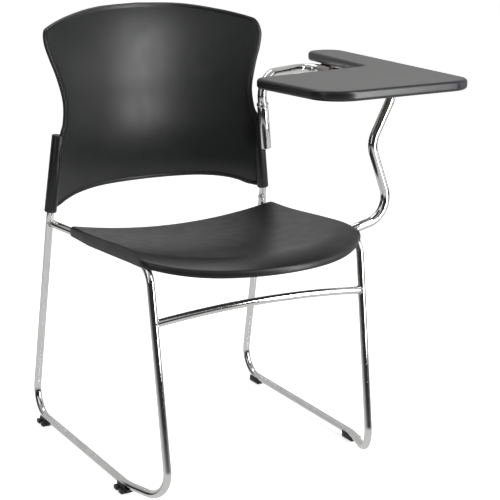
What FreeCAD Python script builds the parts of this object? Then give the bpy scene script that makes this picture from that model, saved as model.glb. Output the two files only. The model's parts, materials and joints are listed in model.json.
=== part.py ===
"""Student desk chair: sled base of bent tube, moulded seat and back, and a writing tablet
that tips up about a one-piece arm tube at the sitter's left.

The chair faces -Y and +X is the sitter's left.  It is drawn about its own mid plane and
then placed so that the origin is the bottom centre of everything, the arm included.
"""
import FreeCAD
import Part
import Sketcher
import math
import os

Vector = FreeCAD.Vector
up = Vector(0, 0, 1)
os.makedirs("parts", exist_ok=True)
doc = FreeCAD.newDocument("StudentDeskChair")

# ---------------------------------------------------------------- driving dimensions
# a text value is a formula: a size that follows another
dimensions = {
    # bent tube of the two side frames
    "frameTube": 14.5, "frameWall": 1.5, "runnerHalf": 246.0, "legFootHalf": 212.5,
    "legTopHalf": 217.5, "railHalf": 208.0, "postTopHalf": 222.5, "postFootHalf": 240.0,
    "rearReach": 456.0, "frontReach": -95.0, "toeStart": 12.0, "legTopReach": -38.0,
    "railHeight": 416.0, "railRise": 15.0, "railRearReach": 305.0, "railJoinDrop": 17.0,
    "postReach": 358.0, "postTopReach": 350.0, "postFoot": 447.0, "postTop": 590.0,
    "floorBend": 50.0, "frontBend": 50.0, "toeBend": 110.0, "railBend": 34.0,
    "railRearBend": 60.0, "postBend": 90.0, "runnerFlare": 3.0,
    # cross members
    "crossTube": 14.0, "crossWall": 1.5, "crossHeight": 332.0, "crossArch": 11.5,
    "braceReach": 235.0, "braceHeight": 396.0, "braceBend": 24.0, "braceInset": 34.0,
    # moulded glides under the runners
    "glideLength": 34.0, "glideHeight": 14.0, "glideWidth": "=frameTube + 2.5", "glideSole": 7.0,
    "glideFit": 0.1, "glideRound": 2.5, "glideFrontReach": 22.0,
    "glideRearReach": "=rearReach - 58", "glideEar": 7.0, "glideEarHeight": 8.0,
    "glideNotch": 7.0,
    # seat shell
    "seatHalf": 226.5, "seatRear": 299.0, "seatFront": -142.0, "seatFrontSweep": 290.0,
    "seatFoot": 415.5, "seatWall": 5.0, "seatDish": 23.0, "seatRearHeight": 436.0,
    "seatFootRise": 14.5, "seatFootStart": 205.0, "seatFootRun": 250.0,
    "seatFrontHeight": 449.0, "seatClimbStart": 270.0, "seatRearCorner": 9.0,
    "seatFrontCorner": 40.0, "seatClear": 0.5, "seatRoll": 62.0, "seatBoss": 13.0,
    # seat fixings
    "tabLength": 34.0, "tabWidth": 30.0, "tabThick": 3.0, "seatScrew": 5.0,
    "tabFrontReach": 20.0, "tabRearReach": 270.0, "screwHeadHeight": 3.0,
    # back shell
    "backWall": 5.0, "lumbarReach": 396.5, "lumbarHeight": 622.0, "lumbarSweep": 376.0,
    "backTop": 838.5, "backArch": 481.0, "earHalf": 236.0,
    "waistHalf": 207.0, "backSweep": 438.0, "sleeveOuter": "=frameTube + 9.5", "sleeveFoot": 452.0,
    "sleeveTop": 603.0, "sleeveClear": 0.3, "backScrew": 5.0, "backScrewHeight": 495.0,
    # socket of the arm and its bolts
    "armTube": 19.0, "armWall": 2.0, "socketOuter": "=armTube + 4", "socketFoot": 540.0,
    "socketTop": 637.0, "socketGap": 2.5, "socketFit": 0.15, "socketLip": 7.0,
    "saddleBlock": 15.0, "saddleMargin": 12.0, "socketBolt": 6.0, "boltHeadHeight": 4.0,
    "lowBoltHeight": 555.0, "highBoltHeight": 585.0,
    # arm tube
    "hingeGap": 0.4,
    "hingeHeight": "=tabletTop - tabletThick - hingeGap - saddleWall - linerWall"
                   " - hingeRunning - armTube / 2",
    "hingeHalf": 372.0, "armRearReach": 392.0, "armFrontReach": 70.0,
    "armRise": "=hingeHeight + 1.2", "armFirstBend": 44.0, "armRearBend": 34.0, "armFrontBend": 40.0,
    "armKneeBend": 50.0, "armKneeHalf": 313.6, "armKneeHeight": 582.0, "armBulgeHalf": 367.0,
    "armBulgeHeight": 437.0, "armFootHalf": 188.0, "armFootHeight": 396.0, "footBolt": 6.0,
    "footBlockIn": 10.0, "footBlockOut": 4.0, "footBlockWidth": 24.0, "nutHeight": 3.6,
    # tablet
    "tabletTop": 725.0, "tabletThick": 19.0, "tabletFront": -149.0, "tabletInnerTip": 57.0,
    "tabletInnerFront": 76.0, "tabletTipReach": 86.0, "tabletOuterFront": 404.0,
    "tabletFrontSkew": 14.0, "tabletOuterRear": 450.0, "tabletRear": 410.0, "lobeInner": 370.0,
    "notchHalf": 340.0, "notchReach": 134.0, "innerTipRound": 26.0, "innerFrontRound": 62.0,
    "outerFrontRound": 56.0, "outerRearRound": 38.0, "lobeRound": 34.0, "notchRound": 16.0,
    "laminate": 1.0, "edgeBand": 8.0, "edgeRound": 6.5,
    # tablet hinge
    "ringLength": 34.0, "flangeLength": 33.0, "saddleWall": 2.0, "linerWall": 1.2,
    "hingeRunning": 0.1, "flangeReach": 31.0, "saddleFrontReach": 165.0,
    "saddleRearReach": 312.0, "collarLength": 8.0, "collarWall": 3.2, "collarGap": 0.5,
    "lugReach": 27.0, "lugThick": 5.0, "bumperLength": 10.0, "bumperThick": 1.6,
    "stopGap": 0.3, "openAngle": 95.0, "hingeScrew": 4.0, "hingeScrewLength": 13.0,
    "hingeScrewInset": 8.0, "hingeHeadHeight": 2.2,
}
sheet = doc.addObject("Spreadsheet::Sheet", "dims")
for row, alias in enumerate(dimensions, start=1):
    sheet.set(f"A{row}", alias)
    sheet.setAlias(f"B{row}", alias)
for row, value in enumerate(dimensions.values(), start=1):
    sheet.set(f"B{row}", str(value))
doc.recompute()


def size(alias):
    """A driving dimension, read back from the sheet in millimetres."""
    return float(sheet.get(alias))


# ---------------------------------------------------------------- helpers
nodes = {}


def node(name, shapeObject):
    """Names a finished sub-part; the name is also its file's name."""
    shapeObject.Label = name
    nodes[name] = shapeObject
    return shapeObject


def feature(name, shape):
    """A document object around a shape made with Part's own functions."""
    item = doc.addObject("Part::Feature", name)
    item.Shape = shape
    return item


def bind(item, **formulas):
    """Binds properties of an object to formulas of the sheet."""
    for prop, formula in formulas.items():
        item.setExpression(prop, formula)
    return item


def cut(name, base, *tools):
    """Base less every tool, as a chain of Part::Cut objects."""
    for index, tool in enumerate(tools):
        step = doc.addObject("Part::Cut", f"{name}Cut{index}")
        step.Base = base
        step.Tool = tool
        base = step
    return base


def fuse(name, *items):
    """One Part::MultiFuse of the items."""
    joined = doc.addObject("Part::MultiFuse", f"{name}Fuse")
    joined.Shapes = list(items)
    return joined


def mirrored(name, source):
    """The same piece on the sitter's right."""
    copy = doc.addObject("Part::Mirroring", f"{name}Mirror")
    copy.Source = source
    copy.Base = Vector(0, 0, 0)
    copy.Normal = Vector(1, 0, 0)
    return copy


def rod(name, start, end, radiusFormula):
    """A plain cylinder between two points, its radius bound to the sheet."""
    item = doc.addObject("Part::Cylinder", name)
    item.Height = (end - start).Length
    item.Placement = FreeCAD.Placement(start, FreeCAD.Rotation(up, end - start))
    return bind(item, Radius=radiusFormula)


def bentPath(corners, radii):
    """Straight runs joined by tangent arcs, one radius for each inner corner."""
    edges = []
    start = corners[0]
    for before, corner, after, radius in zip(corners, corners[1:], corners[2:], radii):
        toBefore = (before - corner).normalize()
        toAfter = (after - corner).normalize()
        half = toBefore.getAngle(toAfter) / 2
        bisector = (toBefore + toAfter).normalize()
        middle = corner + bisector * (radius / math.sin(half) - radius)
        first = corner + toBefore * (radius / math.tan(half))
        last = corner + toAfter * (radius / math.tan(half))
        edges.append(Part.LineSegment(start, first).toShape())
        edges.append(Part.Arc(first, middle, last).toShape())
        start = last
    edges.append(Part.LineSegment(start, corners[-1]).toShape())
    return Part.Wire(edges)


def swept(name, path, radiusFormula):
    """A round bar along a path, its radius bound to the sheet."""
    spine = feature(f"{name}Path", path)
    ring = doc.addObject("Part::Circle", f"{name}Ring")
    first = path.OrderedEdges[0]
    ring.Placement = FreeCAD.Placement(first.valueAt(first.FirstParameter),
                                       FreeCAD.Rotation(up, first.tangentAt(first.FirstParameter)))
    bind(ring, Radius=radiusFormula)
    bar = doc.addObject("Part::Sweep", name)
    bar.Sections = [ring]
    bar.Spine = (spine, [f"Edge{i + 1}" for i in range(len(path.Edges))])
    bar.Solid = True
    bar.Frenet = False
    return bar


def prism(wire, height):
    """A flat closed wire raised along +Z."""
    return Part.Face(wire).extrude(Vector(0, 0, height))


def roundedOutline(corners, radii, height):
    """A closed flat outline through corners, each rounded by its own radius."""
    points = [Vector(x, y, height) for x, y in corners]
    count = len(points)
    edges = []
    arcs = []
    for i, radius in enumerate(radii):
        corner = points[i]
        toBefore = (points[i - 1] - corner).normalize()
        toAfter = (points[(i + 1) % count] - corner).normalize()
        half = toBefore.getAngle(toAfter) / 2
        bisector = (toBefore + toAfter).normalize()
        setback = radius / math.tan(half)
        arcs.append((corner + toBefore * setback,
                     corner + bisector * (radius / math.sin(half) - radius),
                     corner + toAfter * setback))
    for i, (first, middle, last) in enumerate(arcs):
        edges.append(Part.Arc(first, middle, last).toShape())
        following = arcs[(i + 1) % count][0]
        edges.append(Part.LineSegment(last, following).toShape())
    return Part.Wire(edges)


# ---------------------------------------------------------------- side frames
frameRadius = size("frameTube") / 2
runnerHeight = size("glideSole") + frameRadius
postTopPoint = Vector(size("postTopHalf"), size("postTopReach"), size("postTop"))
postFootPoint = Vector(size("postFootHalf"), size("postReach"), size("postFoot"))
rearCorner = Vector(size("runnerHalf") + size("runnerFlare"), size("rearReach"), runnerHeight)
railFront = Vector(size("legTopHalf"), size("legTopReach"), size("railHeight") + size("railRise"))
railRear = Vector(size("railHalf"), size("railRearReach"), size("railHeight"))
legFoot = Vector(size("legFootHalf"), size("frontReach"), runnerHeight)
loopCorners = [
    postTopPoint,
    postFootPoint,
    rearCorner,
    Vector(size("runnerHalf"), size("toeStart"), runnerHeight),
    legFoot,
    railFront,
    (railFront + railRear) * 0.5,
]
loopRadii = [size("postBend"), size("floorBend"), size("toeBend"), size("frontBend"),
             size("railBend")]
loopPath = bentPath(loopCorners, loopRadii)
# the rail's rear length runs out and up to the post, below the back's sleeve
legLine = (postFootPoint - rearCorner).normalize()
railJoin = postFootPoint - legLine * size("railJoinDrop")
railCorners = [(railFront + railRear) * 0.5, railRear, railJoin]
railPath = bentPath(railCorners, [size("railRearBend")])
shortJoin = railRear + (railJoin - railRear) * (1 - frameRadius / (railJoin - railRear).Length)
railBorePath = bentPath([railCorners[0], railRear, shortJoin], [size("railRearBend")])

outerRadius = "dims.frameTube / 2"
boreRadius = "dims.frameTube / 2 - dims.frameWall"
frameOuter = fuse("frame", swept("loopBar", loopPath, outerRadius),
                  swept("railBar", railPath, outerRadius))
frameBore = fuse("frameBore", swept("loopBore", loopPath, boreRadius),
                 swept("railBore", railBorePath, boreRadius))


def railPoint(reach):
    """The point of the left rail's axis at a distance behind the chair's zero."""
    share = (reach - railFront.y) / (railRear.y - railFront.y)
    return railFront + (railRear - railFront) * share


def postPoint(height):
    """The point of the back post's axis at a height, up inside the sleeve."""
    share = (height - postFootPoint.z) / (postTopPoint.z - postFootPoint.z)
    return postFootPoint + (postTopPoint - postFootPoint) * share


def across(height, front, rear, name, radiusFormula):
    """A round bar along Y through the post's axis at a height."""
    centre = postPoint(height)
    return rod(name, centre + Vector(0, front, 0), centre + Vector(0, rear, 0), radiusFormula)


sleeveRadius = size("sleeveOuter") / 2
backScrewHole = across(size("backScrewHeight"), -frameRadius - 1, sleeveRadius + 6,
                       "backScrewHole", "dims.backScrew / 2 + 0.15")
boltHeights = [size("lowBoltHeight"), size("highBoltHeight")]
boltHoles = [across(height, -60, 40, f"boltHole{i}", "dims.socketBolt / 2 + 0.15")
             for i, height in enumerate(boltHeights)]
footRail = railPoint(size("armFrontReach"))
footBoltHole = rod("footBoltHole", footRail - Vector(0, 0, 60), footRail + Vector(0, 0, 30),
                   "dims.footBolt / 2 + 0.15")
leftFrame = cut("leftFrame", frameOuter, frameBore, backScrewHole, *boltHoles, footBoltHole)
rightFrame = mirrored("rightFrame", cut("rightFrame", frameOuter, frameBore, backScrewHole))
node("side_frame_left", leftFrame)
node("side_frame_right", rightFrame)
frameOuterRight = mirrored("frameOuter", frameOuter)

# ---------------------------------------------------------------- cross members
legShare = (size("crossHeight") - legFoot.z) / (railFront.z - legFoot.z)
crossEnd = legFoot + (railFront - legFoot) * legShare
crossWire = Part.Wire([Part.Arc(Vector(-crossEnd.x, crossEnd.y, crossEnd.z),
                                Vector(0, crossEnd.y, crossEnd.z + size("crossArch")),
                                crossEnd).toShape()])
crossRadius = "dims.crossTube / 2"
crossBoreRadius = "dims.crossTube / 2 - dims.crossWall"
node("front_crossbar", cut("crossbar", swept("crossBar", crossWire, crossRadius),
                           swept("crossBore", crossWire, crossBoreRadius),
                           frameOuter, frameOuterRight))

braceEnd = railPoint(size("braceReach")) + Vector(1, 0, 0)
braceKnee = Vector(size("railHalf") - size("braceInset"), size("braceReach"), size("braceHeight"))
bracePath = bentPath([Vector(-braceEnd.x, braceEnd.y, braceEnd.z),
                      Vector(-braceKnee.x, braceKnee.y, braceKnee.z), braceKnee, braceEnd],
                     [size("braceBend")] * 2)
node("rear_brace", cut("brace", swept("braceBar", bracePath, crossRadius),
                       swept("braceBore", bracePath, crossBoreRadius),
                       frameOuter, frameOuterRight))


# ---------------------------------------------------------------- glides
def runnerX(y):
    """Half spacing of the runners at y, from the rear corner to where they toe in."""
    share = (y - size("toeStart")) / (rearCorner.y - size("toeStart"))
    return size("runnerHalf") + (rearCorner.x - size("runnerHalf")) * share


def plane(body, role):
    """One of a body's own origin planes."""
    return next(item for item in body.Origin.OriginFeatures if item.Role == role)


def glideBody(name, x, y):
    """A moulded block with a round channel for the runner."""
    body = doc.addObject("PartDesign::Body", f"{name}Body")
    side = body.newObject("Sketcher::SketchObject", f"{name}Block")
    side.AttachmentSupport = [(plane(body, "XY_Plane"), "")]
    side.MapMode = "FlatFace"
    corners = [(-1, -1), (1, -1), (1, 1), (-1, 1)]
    halfWidth, halfLength = size("glideWidth") / 2, size("glideLength") / 2
    points = [Vector(sx * halfWidth, sy * halfLength, 0) for sx, sy in corners]
    for a, b in zip(points, points[1:] + points[:1]):
        side.addGeometry(Part.LineSegment(a, b), False)
    for i in range(4):
        side.addConstraint(Sketcher.Constraint("Coincident", i, 2, (i + 1) % 4, 1))
    for i in range(4):
        side.addConstraint(Sketcher.Constraint("Horizontal" if i % 2 == 0 else "Vertical", i))
    side.addConstraint(Sketcher.Constraint("Symmetric", 0, 1, 1, 2, -1, 1))
    width = side.addConstraint(Sketcher.Constraint("DistanceX", 0, 1, 0, 2, 2 * halfWidth))
    length = side.addConstraint(Sketcher.Constraint("DistanceY", 1, 1, 1, 2, 2 * halfLength))
    side.setExpression(f"Constraints[{width}]", "dims.glideWidth")
    side.setExpression(f"Constraints[{length}]", "dims.glideLength")
    block = body.newObject("PartDesign::Pad", f"{name}Pad")
    block.Profile = side
    bind(block, Length="dims.glideHeight")
    channel = body.newObject("Sketcher::SketchObject", f"{name}Channel")
    channel.AttachmentSupport = [(plane(body, "XZ_Plane"), "")]
    channel.MapMode = "FlatFace"
    radius = frameRadius + size("glideFit")
    channel.addGeometry(Part.Circle(Vector(0, runnerHeight, 0), up, radius), False)
    radiusRule = channel.addConstraint(Sketcher.Constraint("Radius", 0, radius))
    channel.setExpression(f"Constraints[{radiusRule}]", "dims.frameTube / 2 + dims.glideFit")
    channel.addConstraint(Sketcher.Constraint("PointOnObject", 0, 3, -2))
    rise = channel.addConstraint(Sketcher.Constraint("DistanceY", -1, 1, 0, 3, runnerHeight))
    channel.setExpression(f"Constraints[{rise}]", "dims.glideSole + dims.frameTube / 2")
    bore = body.newObject("PartDesign::Pocket", f"{name}Bore")
    bore.Profile = channel
    bore.Type = "ThroughAll"
    bore.Midplane = True
    doc.recompute()
    lowEdges = [f"Edge{i + 1}" for i, edge in enumerate(bore.Shape.Edges)
                if edge.BoundBox.ZMax < 0.01]
    rounding = body.newObject("PartDesign::Fillet", f"{name}Round")
    rounding.Base = (bore, lowEdges)
    bind(rounding, Radius="dims.glideRound")
    body.Tip = rounding
    body.Placement.Base = Vector(x, y, 0)
    return body


def glideEar(name, x, y, side, end):
    """One of the two ears on a glide's outer side; the gap between them is its notch."""
    ear = doc.addObject("Part::Box", f"{name}Ear{'Front' if end < 0 else 'Rear'}")
    bind(ear, Length="dims.glideWidth / 2 + dims.glideEar", Height="dims.glideEarHeight",
         Width="(dims.glideLength - dims.glideNotch) / 2")
    low = -size("glideLength") / 2 if end < 0 else size("glideNotch") / 2
    inner = 0 if side > 0 else -size("glideWidth") / 2 - size("glideEar")
    ear.Placement.Base = Vector(x + inner, y + low, 0)
    return ear


for side, tag in ((1, "left"), (-1, "right")):
    for place in ("front", "rear"):
        reach = size("glideFrontReach") if place == "front" else size("glideRearReach")
        name = f"glide_{place}_{tag}"
        tube = frameOuter if side > 0 else frameOuterRight
        middle = side * runnerX(reach)
        clip = fuse(name, glideBody(name, middle, reach), glideEar(name, middle, reach, side, -1),
                    glideEar(name, middle, reach, side, 1))
        node(name, cut(name, clip, tube))


# ---------------------------------------------------------------- seat shell
seatHalf, seatRear, seatWall = size("seatHalf"), size("seatRear"), size("seatWall")


def seatFrontLine(x):
    """The front edge in plan: one wide arc."""
    sweep = size("seatFrontSweep")
    return size("seatFront") + sweep - math.sqrt(sweep ** 2 - x ** 2)


def seatHeight(x, y):
    """The seat's top before its front is rolled: a rising edge less a dish."""
    along = (seatRear - y) / (seatRear - size("seatFront"))
    climb = min(1, max(0, 1 - y / size("seatClimbStart")))
    rise = (size("seatFrontHeight") - size("seatRearHeight")) * climb ** 2 * (3 - 2 * climb)
    edge = size("seatRearHeight") + rise
    return edge - size("seatDish") * (1 - (x / seatHalf) ** 2) * (1 - 0.8 * along ** 3)


def seatFootHeight(x, y):
    """The lower edge of skirt and lip: it rises towards the front corners."""
    climb = max(0, (size("seatFootStart") - y) / size("seatFootRun"))
    return size("seatFoot") + size("seatFootRise") * climb * abs(x / seatHalf) ** 5


def seatSection(x):
    """Closed side section at x: top with a rolled front, a lip, and the underside."""
    front = seatFrontLine(x)
    brow = front + size("seatRoll")
    browHeight = seatHeight(x, brow)
    top = [Vector(x, y, seatHeight(x, y))
           for y in (seatRear - (seatRear - brow) * i / 6 for i in range(7))]
    for i in range(1, 6):
        angle = math.radians(15 * i)
        drop = browHeight - seatFootHeight(x, front)
        top.append(Vector(x, brow - size("seatRoll") * math.sin(angle) / math.sin(math.radians(75)),
                          browHeight - drop * (1 - math.cos(angle))
                          / (1 - math.cos(math.radians(75)))))
    under = []
    for i, point in enumerate(top):
        run = top[min(i + 1, len(top) - 1)] - top[max(i - 1, 0)]
        normal = Vector(0, -run.z, run.y).normalize()
        under.append(point + normal * seatWall)
    under.reverse()
    return Part.Wire([splineEdge(top), Part.LineSegment(top[-1], under[0]).toShape(),
                      splineEdge(under), Part.LineSegment(under[-1], top[0]).toShape()])


def splineEdge(points):
    """A smooth edge through points."""
    curve = Part.BSplineCurve()
    curve.interpolate(points)
    return curve.toShape()


def seatSkirt(side):
    """The wall that hangs from one side edge and hides the rail, a little proud of the plan."""
    x = side * (seatHalf + 2)
    reach = [seatRear - (seatRear - seatFrontLine(seatHalf) - 22) * i / 6 for i in range(7)]
    edge = [Vector(x, y, seatHeight(x, y) - seatWall / 2) for y in reach]
    foot = [Vector(x, y, seatFootHeight(seatHalf, y))
            for y in (reach[-1], size("seatFootStart"), reach[0])]
    face = Part.Face(Part.Wire([splineEdge(edge), Part.LineSegment(edge[-1], foot[0]).toShape(),
                                Part.LineSegment(foot[0], foot[1]).toShape(),
                                Part.LineSegment(foot[1], foot[2]).toShape(),
                                Part.LineSegment(foot[2], edge[0]).toShape()]))
    return face.extrude(Vector(-side * (seatWall + 2), 0, 0))


tabReaches = [size("tabFrontReach"), size("tabRearReach")]


def tabPoint(side, reach):
    """The middle of a seat tab's top face, beside the rail."""
    rail = railPoint(reach)
    inward = frameRadius + size("tabLength") / 2 - 1
    return Vector(side * (rail.x - inward), reach, rail.z + size("tabThick") / 2)


tabPoints = [tabPoint(side, reach) for side in (1, -1) for reach in tabReaches]
seatStations = [-1.01, -0.92, -0.78, -0.55, -0.28, 0, 0.28, 0.55, 0.78, 0.92, 1.01]
seatPlate = Part.makeLoft([seatSection(share * seatHalf) for share in seatStations], True, False)
# the plan trims the sides and corners; its front arc stands clear of the rolled lip
planGap = 2
planFront = seatFrontLine(seatHalf) - planGap
frontLeft, frontRight = Vector(seatHalf, planFront, 0), Vector(-seatHalf, planFront, 0)
rearLeft, rearRight = Vector(seatHalf, seatRear, 0), Vector(-seatHalf, seatRear, 0)
planArc = Part.Arc(frontRight, Vector(0, size("seatFront") - planGap, 0), frontLeft).toShape()
plan = Part.Wire([planArc, Part.LineSegment(frontLeft, rearLeft).toShape(),
                  Part.LineSegment(rearLeft, rearRight).toShape(),
                  Part.LineSegment(rearRight, frontRight).toShape()])
planBlock = prism(plan, 600)


def planUprights(rear):
    """The upright edges of the plan block at its rear corners, or at its front ones."""
    return [edge for edge in planBlock.Edges if edge.BoundBox.ZLength > 599
            and (edge.BoundBox.YMax > seatRear - 1) == rear]


planBlock = planBlock.makeFillet(size("seatRearCorner"), planUprights(True))
frontUprights = [edge for edge in planUprights(False) if edge.BoundBox.YMax < planFront + 1]
planBlock = planBlock.makeFillet(size("seatFrontCorner"), frontUprights)
seatSolid = seatPlate.fuse([seatSkirt(1), seatSkirt(-1)])
for point in tabPoints:
    bossHeight = seatHeight(point.x, point.y) - seatWall / 2 - point.z
    seatSolid = seatSolid.fuse(Part.makeCylinder(size("seatBoss") / 2, bossHeight, point))
seatSolid = seatSolid.common(planBlock)
for point in tabPoints:
    pilotHeight = seatHeight(point.x, point.y) - seatWall + 1 - point.z
    seatSolid = seatSolid.cut(Part.makeCylinder(size("seatScrew") / 2, pilotHeight, point))
clearRadius = "dims.frameTube / 2 + dims.seatClear"
frameClear = fuse("frameClear", swept("loopClear", loopPath, clearRadius),
                  swept("railClear", railPath, clearRadius))
seat = cut("seat", feature("seatSolid", seatSolid), frameClear, mirrored("frameClear", frameClear))
node("seat_shell", seat)

# ---------------------------------------------------------------- seat tabs and screws
tabs = []
seatScrews = []
for i, point in enumerate(tabPoints):
    tab = doc.addObject("Part::Box", f"tab{i}")
    bind(tab, Length="dims.tabLength", Width="dims.tabWidth", Height="dims.tabThick")
    tab.Placement.Base = point - Vector(size("tabLength") / 2, size("tabWidth") / 2, size("tabThick"))
    hole = rod(f"tabHole{i}", point - Vector(0, 0, 20), point + Vector(0, 0, 20),
               "dims.seatScrew / 2 + 0.25")
    tabs.append(cut(f"tab{i}", tab, hole))
    under = point - Vector(0, 0, size("tabThick"))
    tip = Vector(point.x, point.y, seatHeight(point.x, point.y) - seatWall + 0.5)
    shank = rod(f"seatShank{i}", under - Vector(0, 0, 1), tip, "dims.seatScrew / 2 - 0.05")
    head = rod(f"seatHead{i}", under - Vector(0, 0, size("screwHeadHeight")), under, "dims.seatScrew")
    seatScrews.append(fuse(f"seatScrew{i}", shank, head))
tabGroup = doc.addObject("Part::Compound", "tabGroup")
tabGroup.Links = tabs
node("seat_tabs", cut("tabs", tabGroup, frameOuter, frameOuterRight))
screwGroup = doc.addObject("Part::Compound", "screwGroup")
screwGroup.Links = seatScrews
node("seat_screws", screwGroup)


# ---------------------------------------------------------------- back shell
def backReach(z):
    """Front of the shell on the mid plane: it bows forward at the lumbar."""
    return size("lumbarReach") + (z - size("lumbarHeight")) ** 2 / (2 * size("lumbarSweep"))


def backSection(z):
    """Closed level section: two concentric arcs open to the front."""
    sweep, half = size("backSweep"), size("earHalf") + 25
    wall = size("backWall")
    centreY = backReach(z) - sweep
    angle = math.asin(half / sweep)

    def arc(radius, first, last):
        ends = [Vector(radius * math.sin(a), centreY + radius * math.cos(a), z)
                for a in (first, (first + last) / 2, last)]
        return Part.Arc(*ends).toShape()

    inner, outer = arc(sweep, -angle, angle), arc(sweep + wall, angle, -angle)
    return Part.Wire([inner,
                      Part.LineSegment(inner.Vertexes[-1].Point, outer.Vertexes[0].Point).toShape(),
                      outer,
                      Part.LineSegment(outer.Vertexes[-1].Point, inner.Vertexes[0].Point).toShape()])


def mirrorPoints(points):
    return [Vector(-p.x, p.y, p.z) for p in reversed(points)]


def flat(points):
    return [Vector(x, 0, z) for x, z in points]


backTop, waist, ear = size("backTop"), size("waistHalf"), size("earHalf")
sleeveTop, sleeveFoot, archTop = size("sleeveTop"), size("sleeveFoot"), size("backArch")
topHalf = flat([(0, backTop), (0.4 * ear, backTop - 4), (0.72 * ear, backTop - 17),
                (0.93 * ear, backTop - 31), (0.985 * ear, backTop - 40)])
sideHalf = flat([(0.985 * ear, backTop - 40), (ear, backTop - 62), (ear - 7, backTop - 91),
                 (waist + 12, backTop - 120), (waist + 2, backTop - 160), (waist, backTop - 186),
                 (waist + 4, sleeveTop + 20)])
shoulder = Vector(postPoint(sleeveTop).x, 0, sleeveTop)
foot = Vector(postPoint(sleeveFoot).x, 0, sleeveFoot)
archHalf = [foot - Vector(6, 0, 0)] + flat([(211, archTop - 23), (195, archTop - 15.5),
                                            (170, archTop - 8), (134, archTop - 2.5),
                                            (90, archTop), (0, archTop + 0.5)])
outlineEdges = [splineEdge(mirrorPoints(topHalf) + topHalf[1:]), splineEdge(sideHalf)]
outlineEdges.append(Part.LineSegment(sideHalf[-1], shoulder).toShape())
outlineEdges.append(Part.LineSegment(shoulder, foot).toShape())
outlineEdges.append(Part.LineSegment(foot, archHalf[0]).toShape())
outlineEdges.append(splineEdge(archHalf + mirrorPoints(archHalf)[1:]))
leftShoulder, leftFoot = Vector(-shoulder.x, 0, shoulder.z), Vector(-foot.x, 0, foot.z)
outlineEdges.append(Part.LineSegment(mirrorPoints(archHalf)[-1], leftFoot).toShape())
outlineEdges.append(Part.LineSegment(leftFoot, leftShoulder).toShape())
outlineEdges.append(Part.LineSegment(leftShoulder, mirrorPoints(sideHalf)[0]).toShape())
outlineEdges.append(splineEdge(mirrorPoints(sideHalf)))
backBlock = Part.Face(Part.Wire(outlineEdges)).extrude(Vector(0, 700, 0))
backLevels = [sleeveFoot - 10 + (backTop + 20 - sleeveFoot) * i / 8 for i in range(9)]
backSolid = Part.makeLoft([backSection(z) for z in backLevels], True, False).common(backBlock)


def onPost(start, end, radius, side):
    """A round bar along the post's axis between two heights, on one side."""
    low, high = postPoint(start), postPoint(end)
    low.x, high.x = low.x * side, high.x * side
    return Part.makeCylinder(radius, (high - low).Length, low, high - low)


for side in (1, -1):
    backSolid = backSolid.fuse(onPost(sleeveFoot, sleeveTop, sleeveRadius, side))
for side in (1, -1):
    boreTop = size("postTop") + 2
    backSolid = backSolid.cut(onPost(sleeveFoot - 8, boreTop, frameRadius + size("sleeveClear"), side))
back = feature("backSolid", backSolid)
screwHoleRight = mirrored("backScrewHole", backScrewHole)
node("back_shell", cut("back", back, backScrewHole, screwHoleRight, *boltHoles))


# ---------------------------------------------------------------- back screws
def backScrewAt(side, tag):
    """A pan head screw from the sleeve's rear through both walls of the post."""
    centre = postPoint(size("backScrewHeight"))
    centre.x *= side
    rearFace = centre + Vector(0, sleeveRadius + 0.2, 0)
    shank = rod(f"backShank{tag}", centre - Vector(0, frameRadius + 0.5, 0), rearFace,
                "dims.backScrew / 2 - 0.05")
    head = rod(f"backHead{tag}", rearFace, rearFace + Vector(0, size("screwHeadHeight"), 0),
               "dims.backScrew")
    return fuse(f"backScrew{tag}", shank, head)


backScrews = doc.addObject("Part::Compound", "backScrews")
backScrews.Links = [backScrewAt(1, "Left"), backScrewAt(-1, "Right")]
node("back_screws", backScrews)

# ---------------------------------------------------------------- arm socket
armRadius = size("armTube") / 2
socketRadius = size("socketOuter") / 2
postAxis = (postTopPoint - postFootPoint).normalize()
socketShift = Vector(0, -(sleeveRadius + size("socketGap") + socketRadius), 0)


def socketPoint(height):
    """A point of the socket's axis, which runs beside the post's, in front of the sleeve."""
    return postPoint(height) + socketShift


socketBody = doc.addObject("PartDesign::Body", "socketBody")
socketSketch = socketBody.newObject("Sketcher::SketchObject", "socketSection")
socketSketch.AttachmentSupport = [(plane(socketBody, "XZ_Plane"), "")]
socketSketch.MapMode = "FlatFace"
socketLength = (socketPoint(size("socketTop")) - socketPoint(size("socketFoot"))).Length
lip = size("socketLip")
boreR = armRadius + size("socketFit")
section = [(boreR, 0), (socketRadius - 1, 0), (socketRadius, 1), (socketRadius, socketLength - lip),
           (socketRadius - 0.6, socketLength - lip + 1.5), (socketRadius - 0.6, socketLength - 3),
           (boreR + 0.9, socketLength), (boreR, socketLength)]
for a, b in zip(section, section[1:] + section[:1]):
    socketSketch.addGeometry(Part.LineSegment(Vector(*a, 0), Vector(*b, 0)), False)
for i in range(len(section)):
    socketSketch.addConstraint(Sketcher.Constraint("Coincident", i, 2, (i + 1) % len(section), 1))
turned = socketBody.newObject("PartDesign::Revolution", "socketTurned")
turned.Profile = socketSketch
turned.ReferenceAxis = (socketSketch, ["V_Axis"])
turned.Angle = 360
socketBody.Placement = FreeCAD.Placement(socketPoint(size("socketFoot")),
                                         FreeCAD.Rotation(up, postAxis))
node("arm_socket", socketBody)

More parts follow.
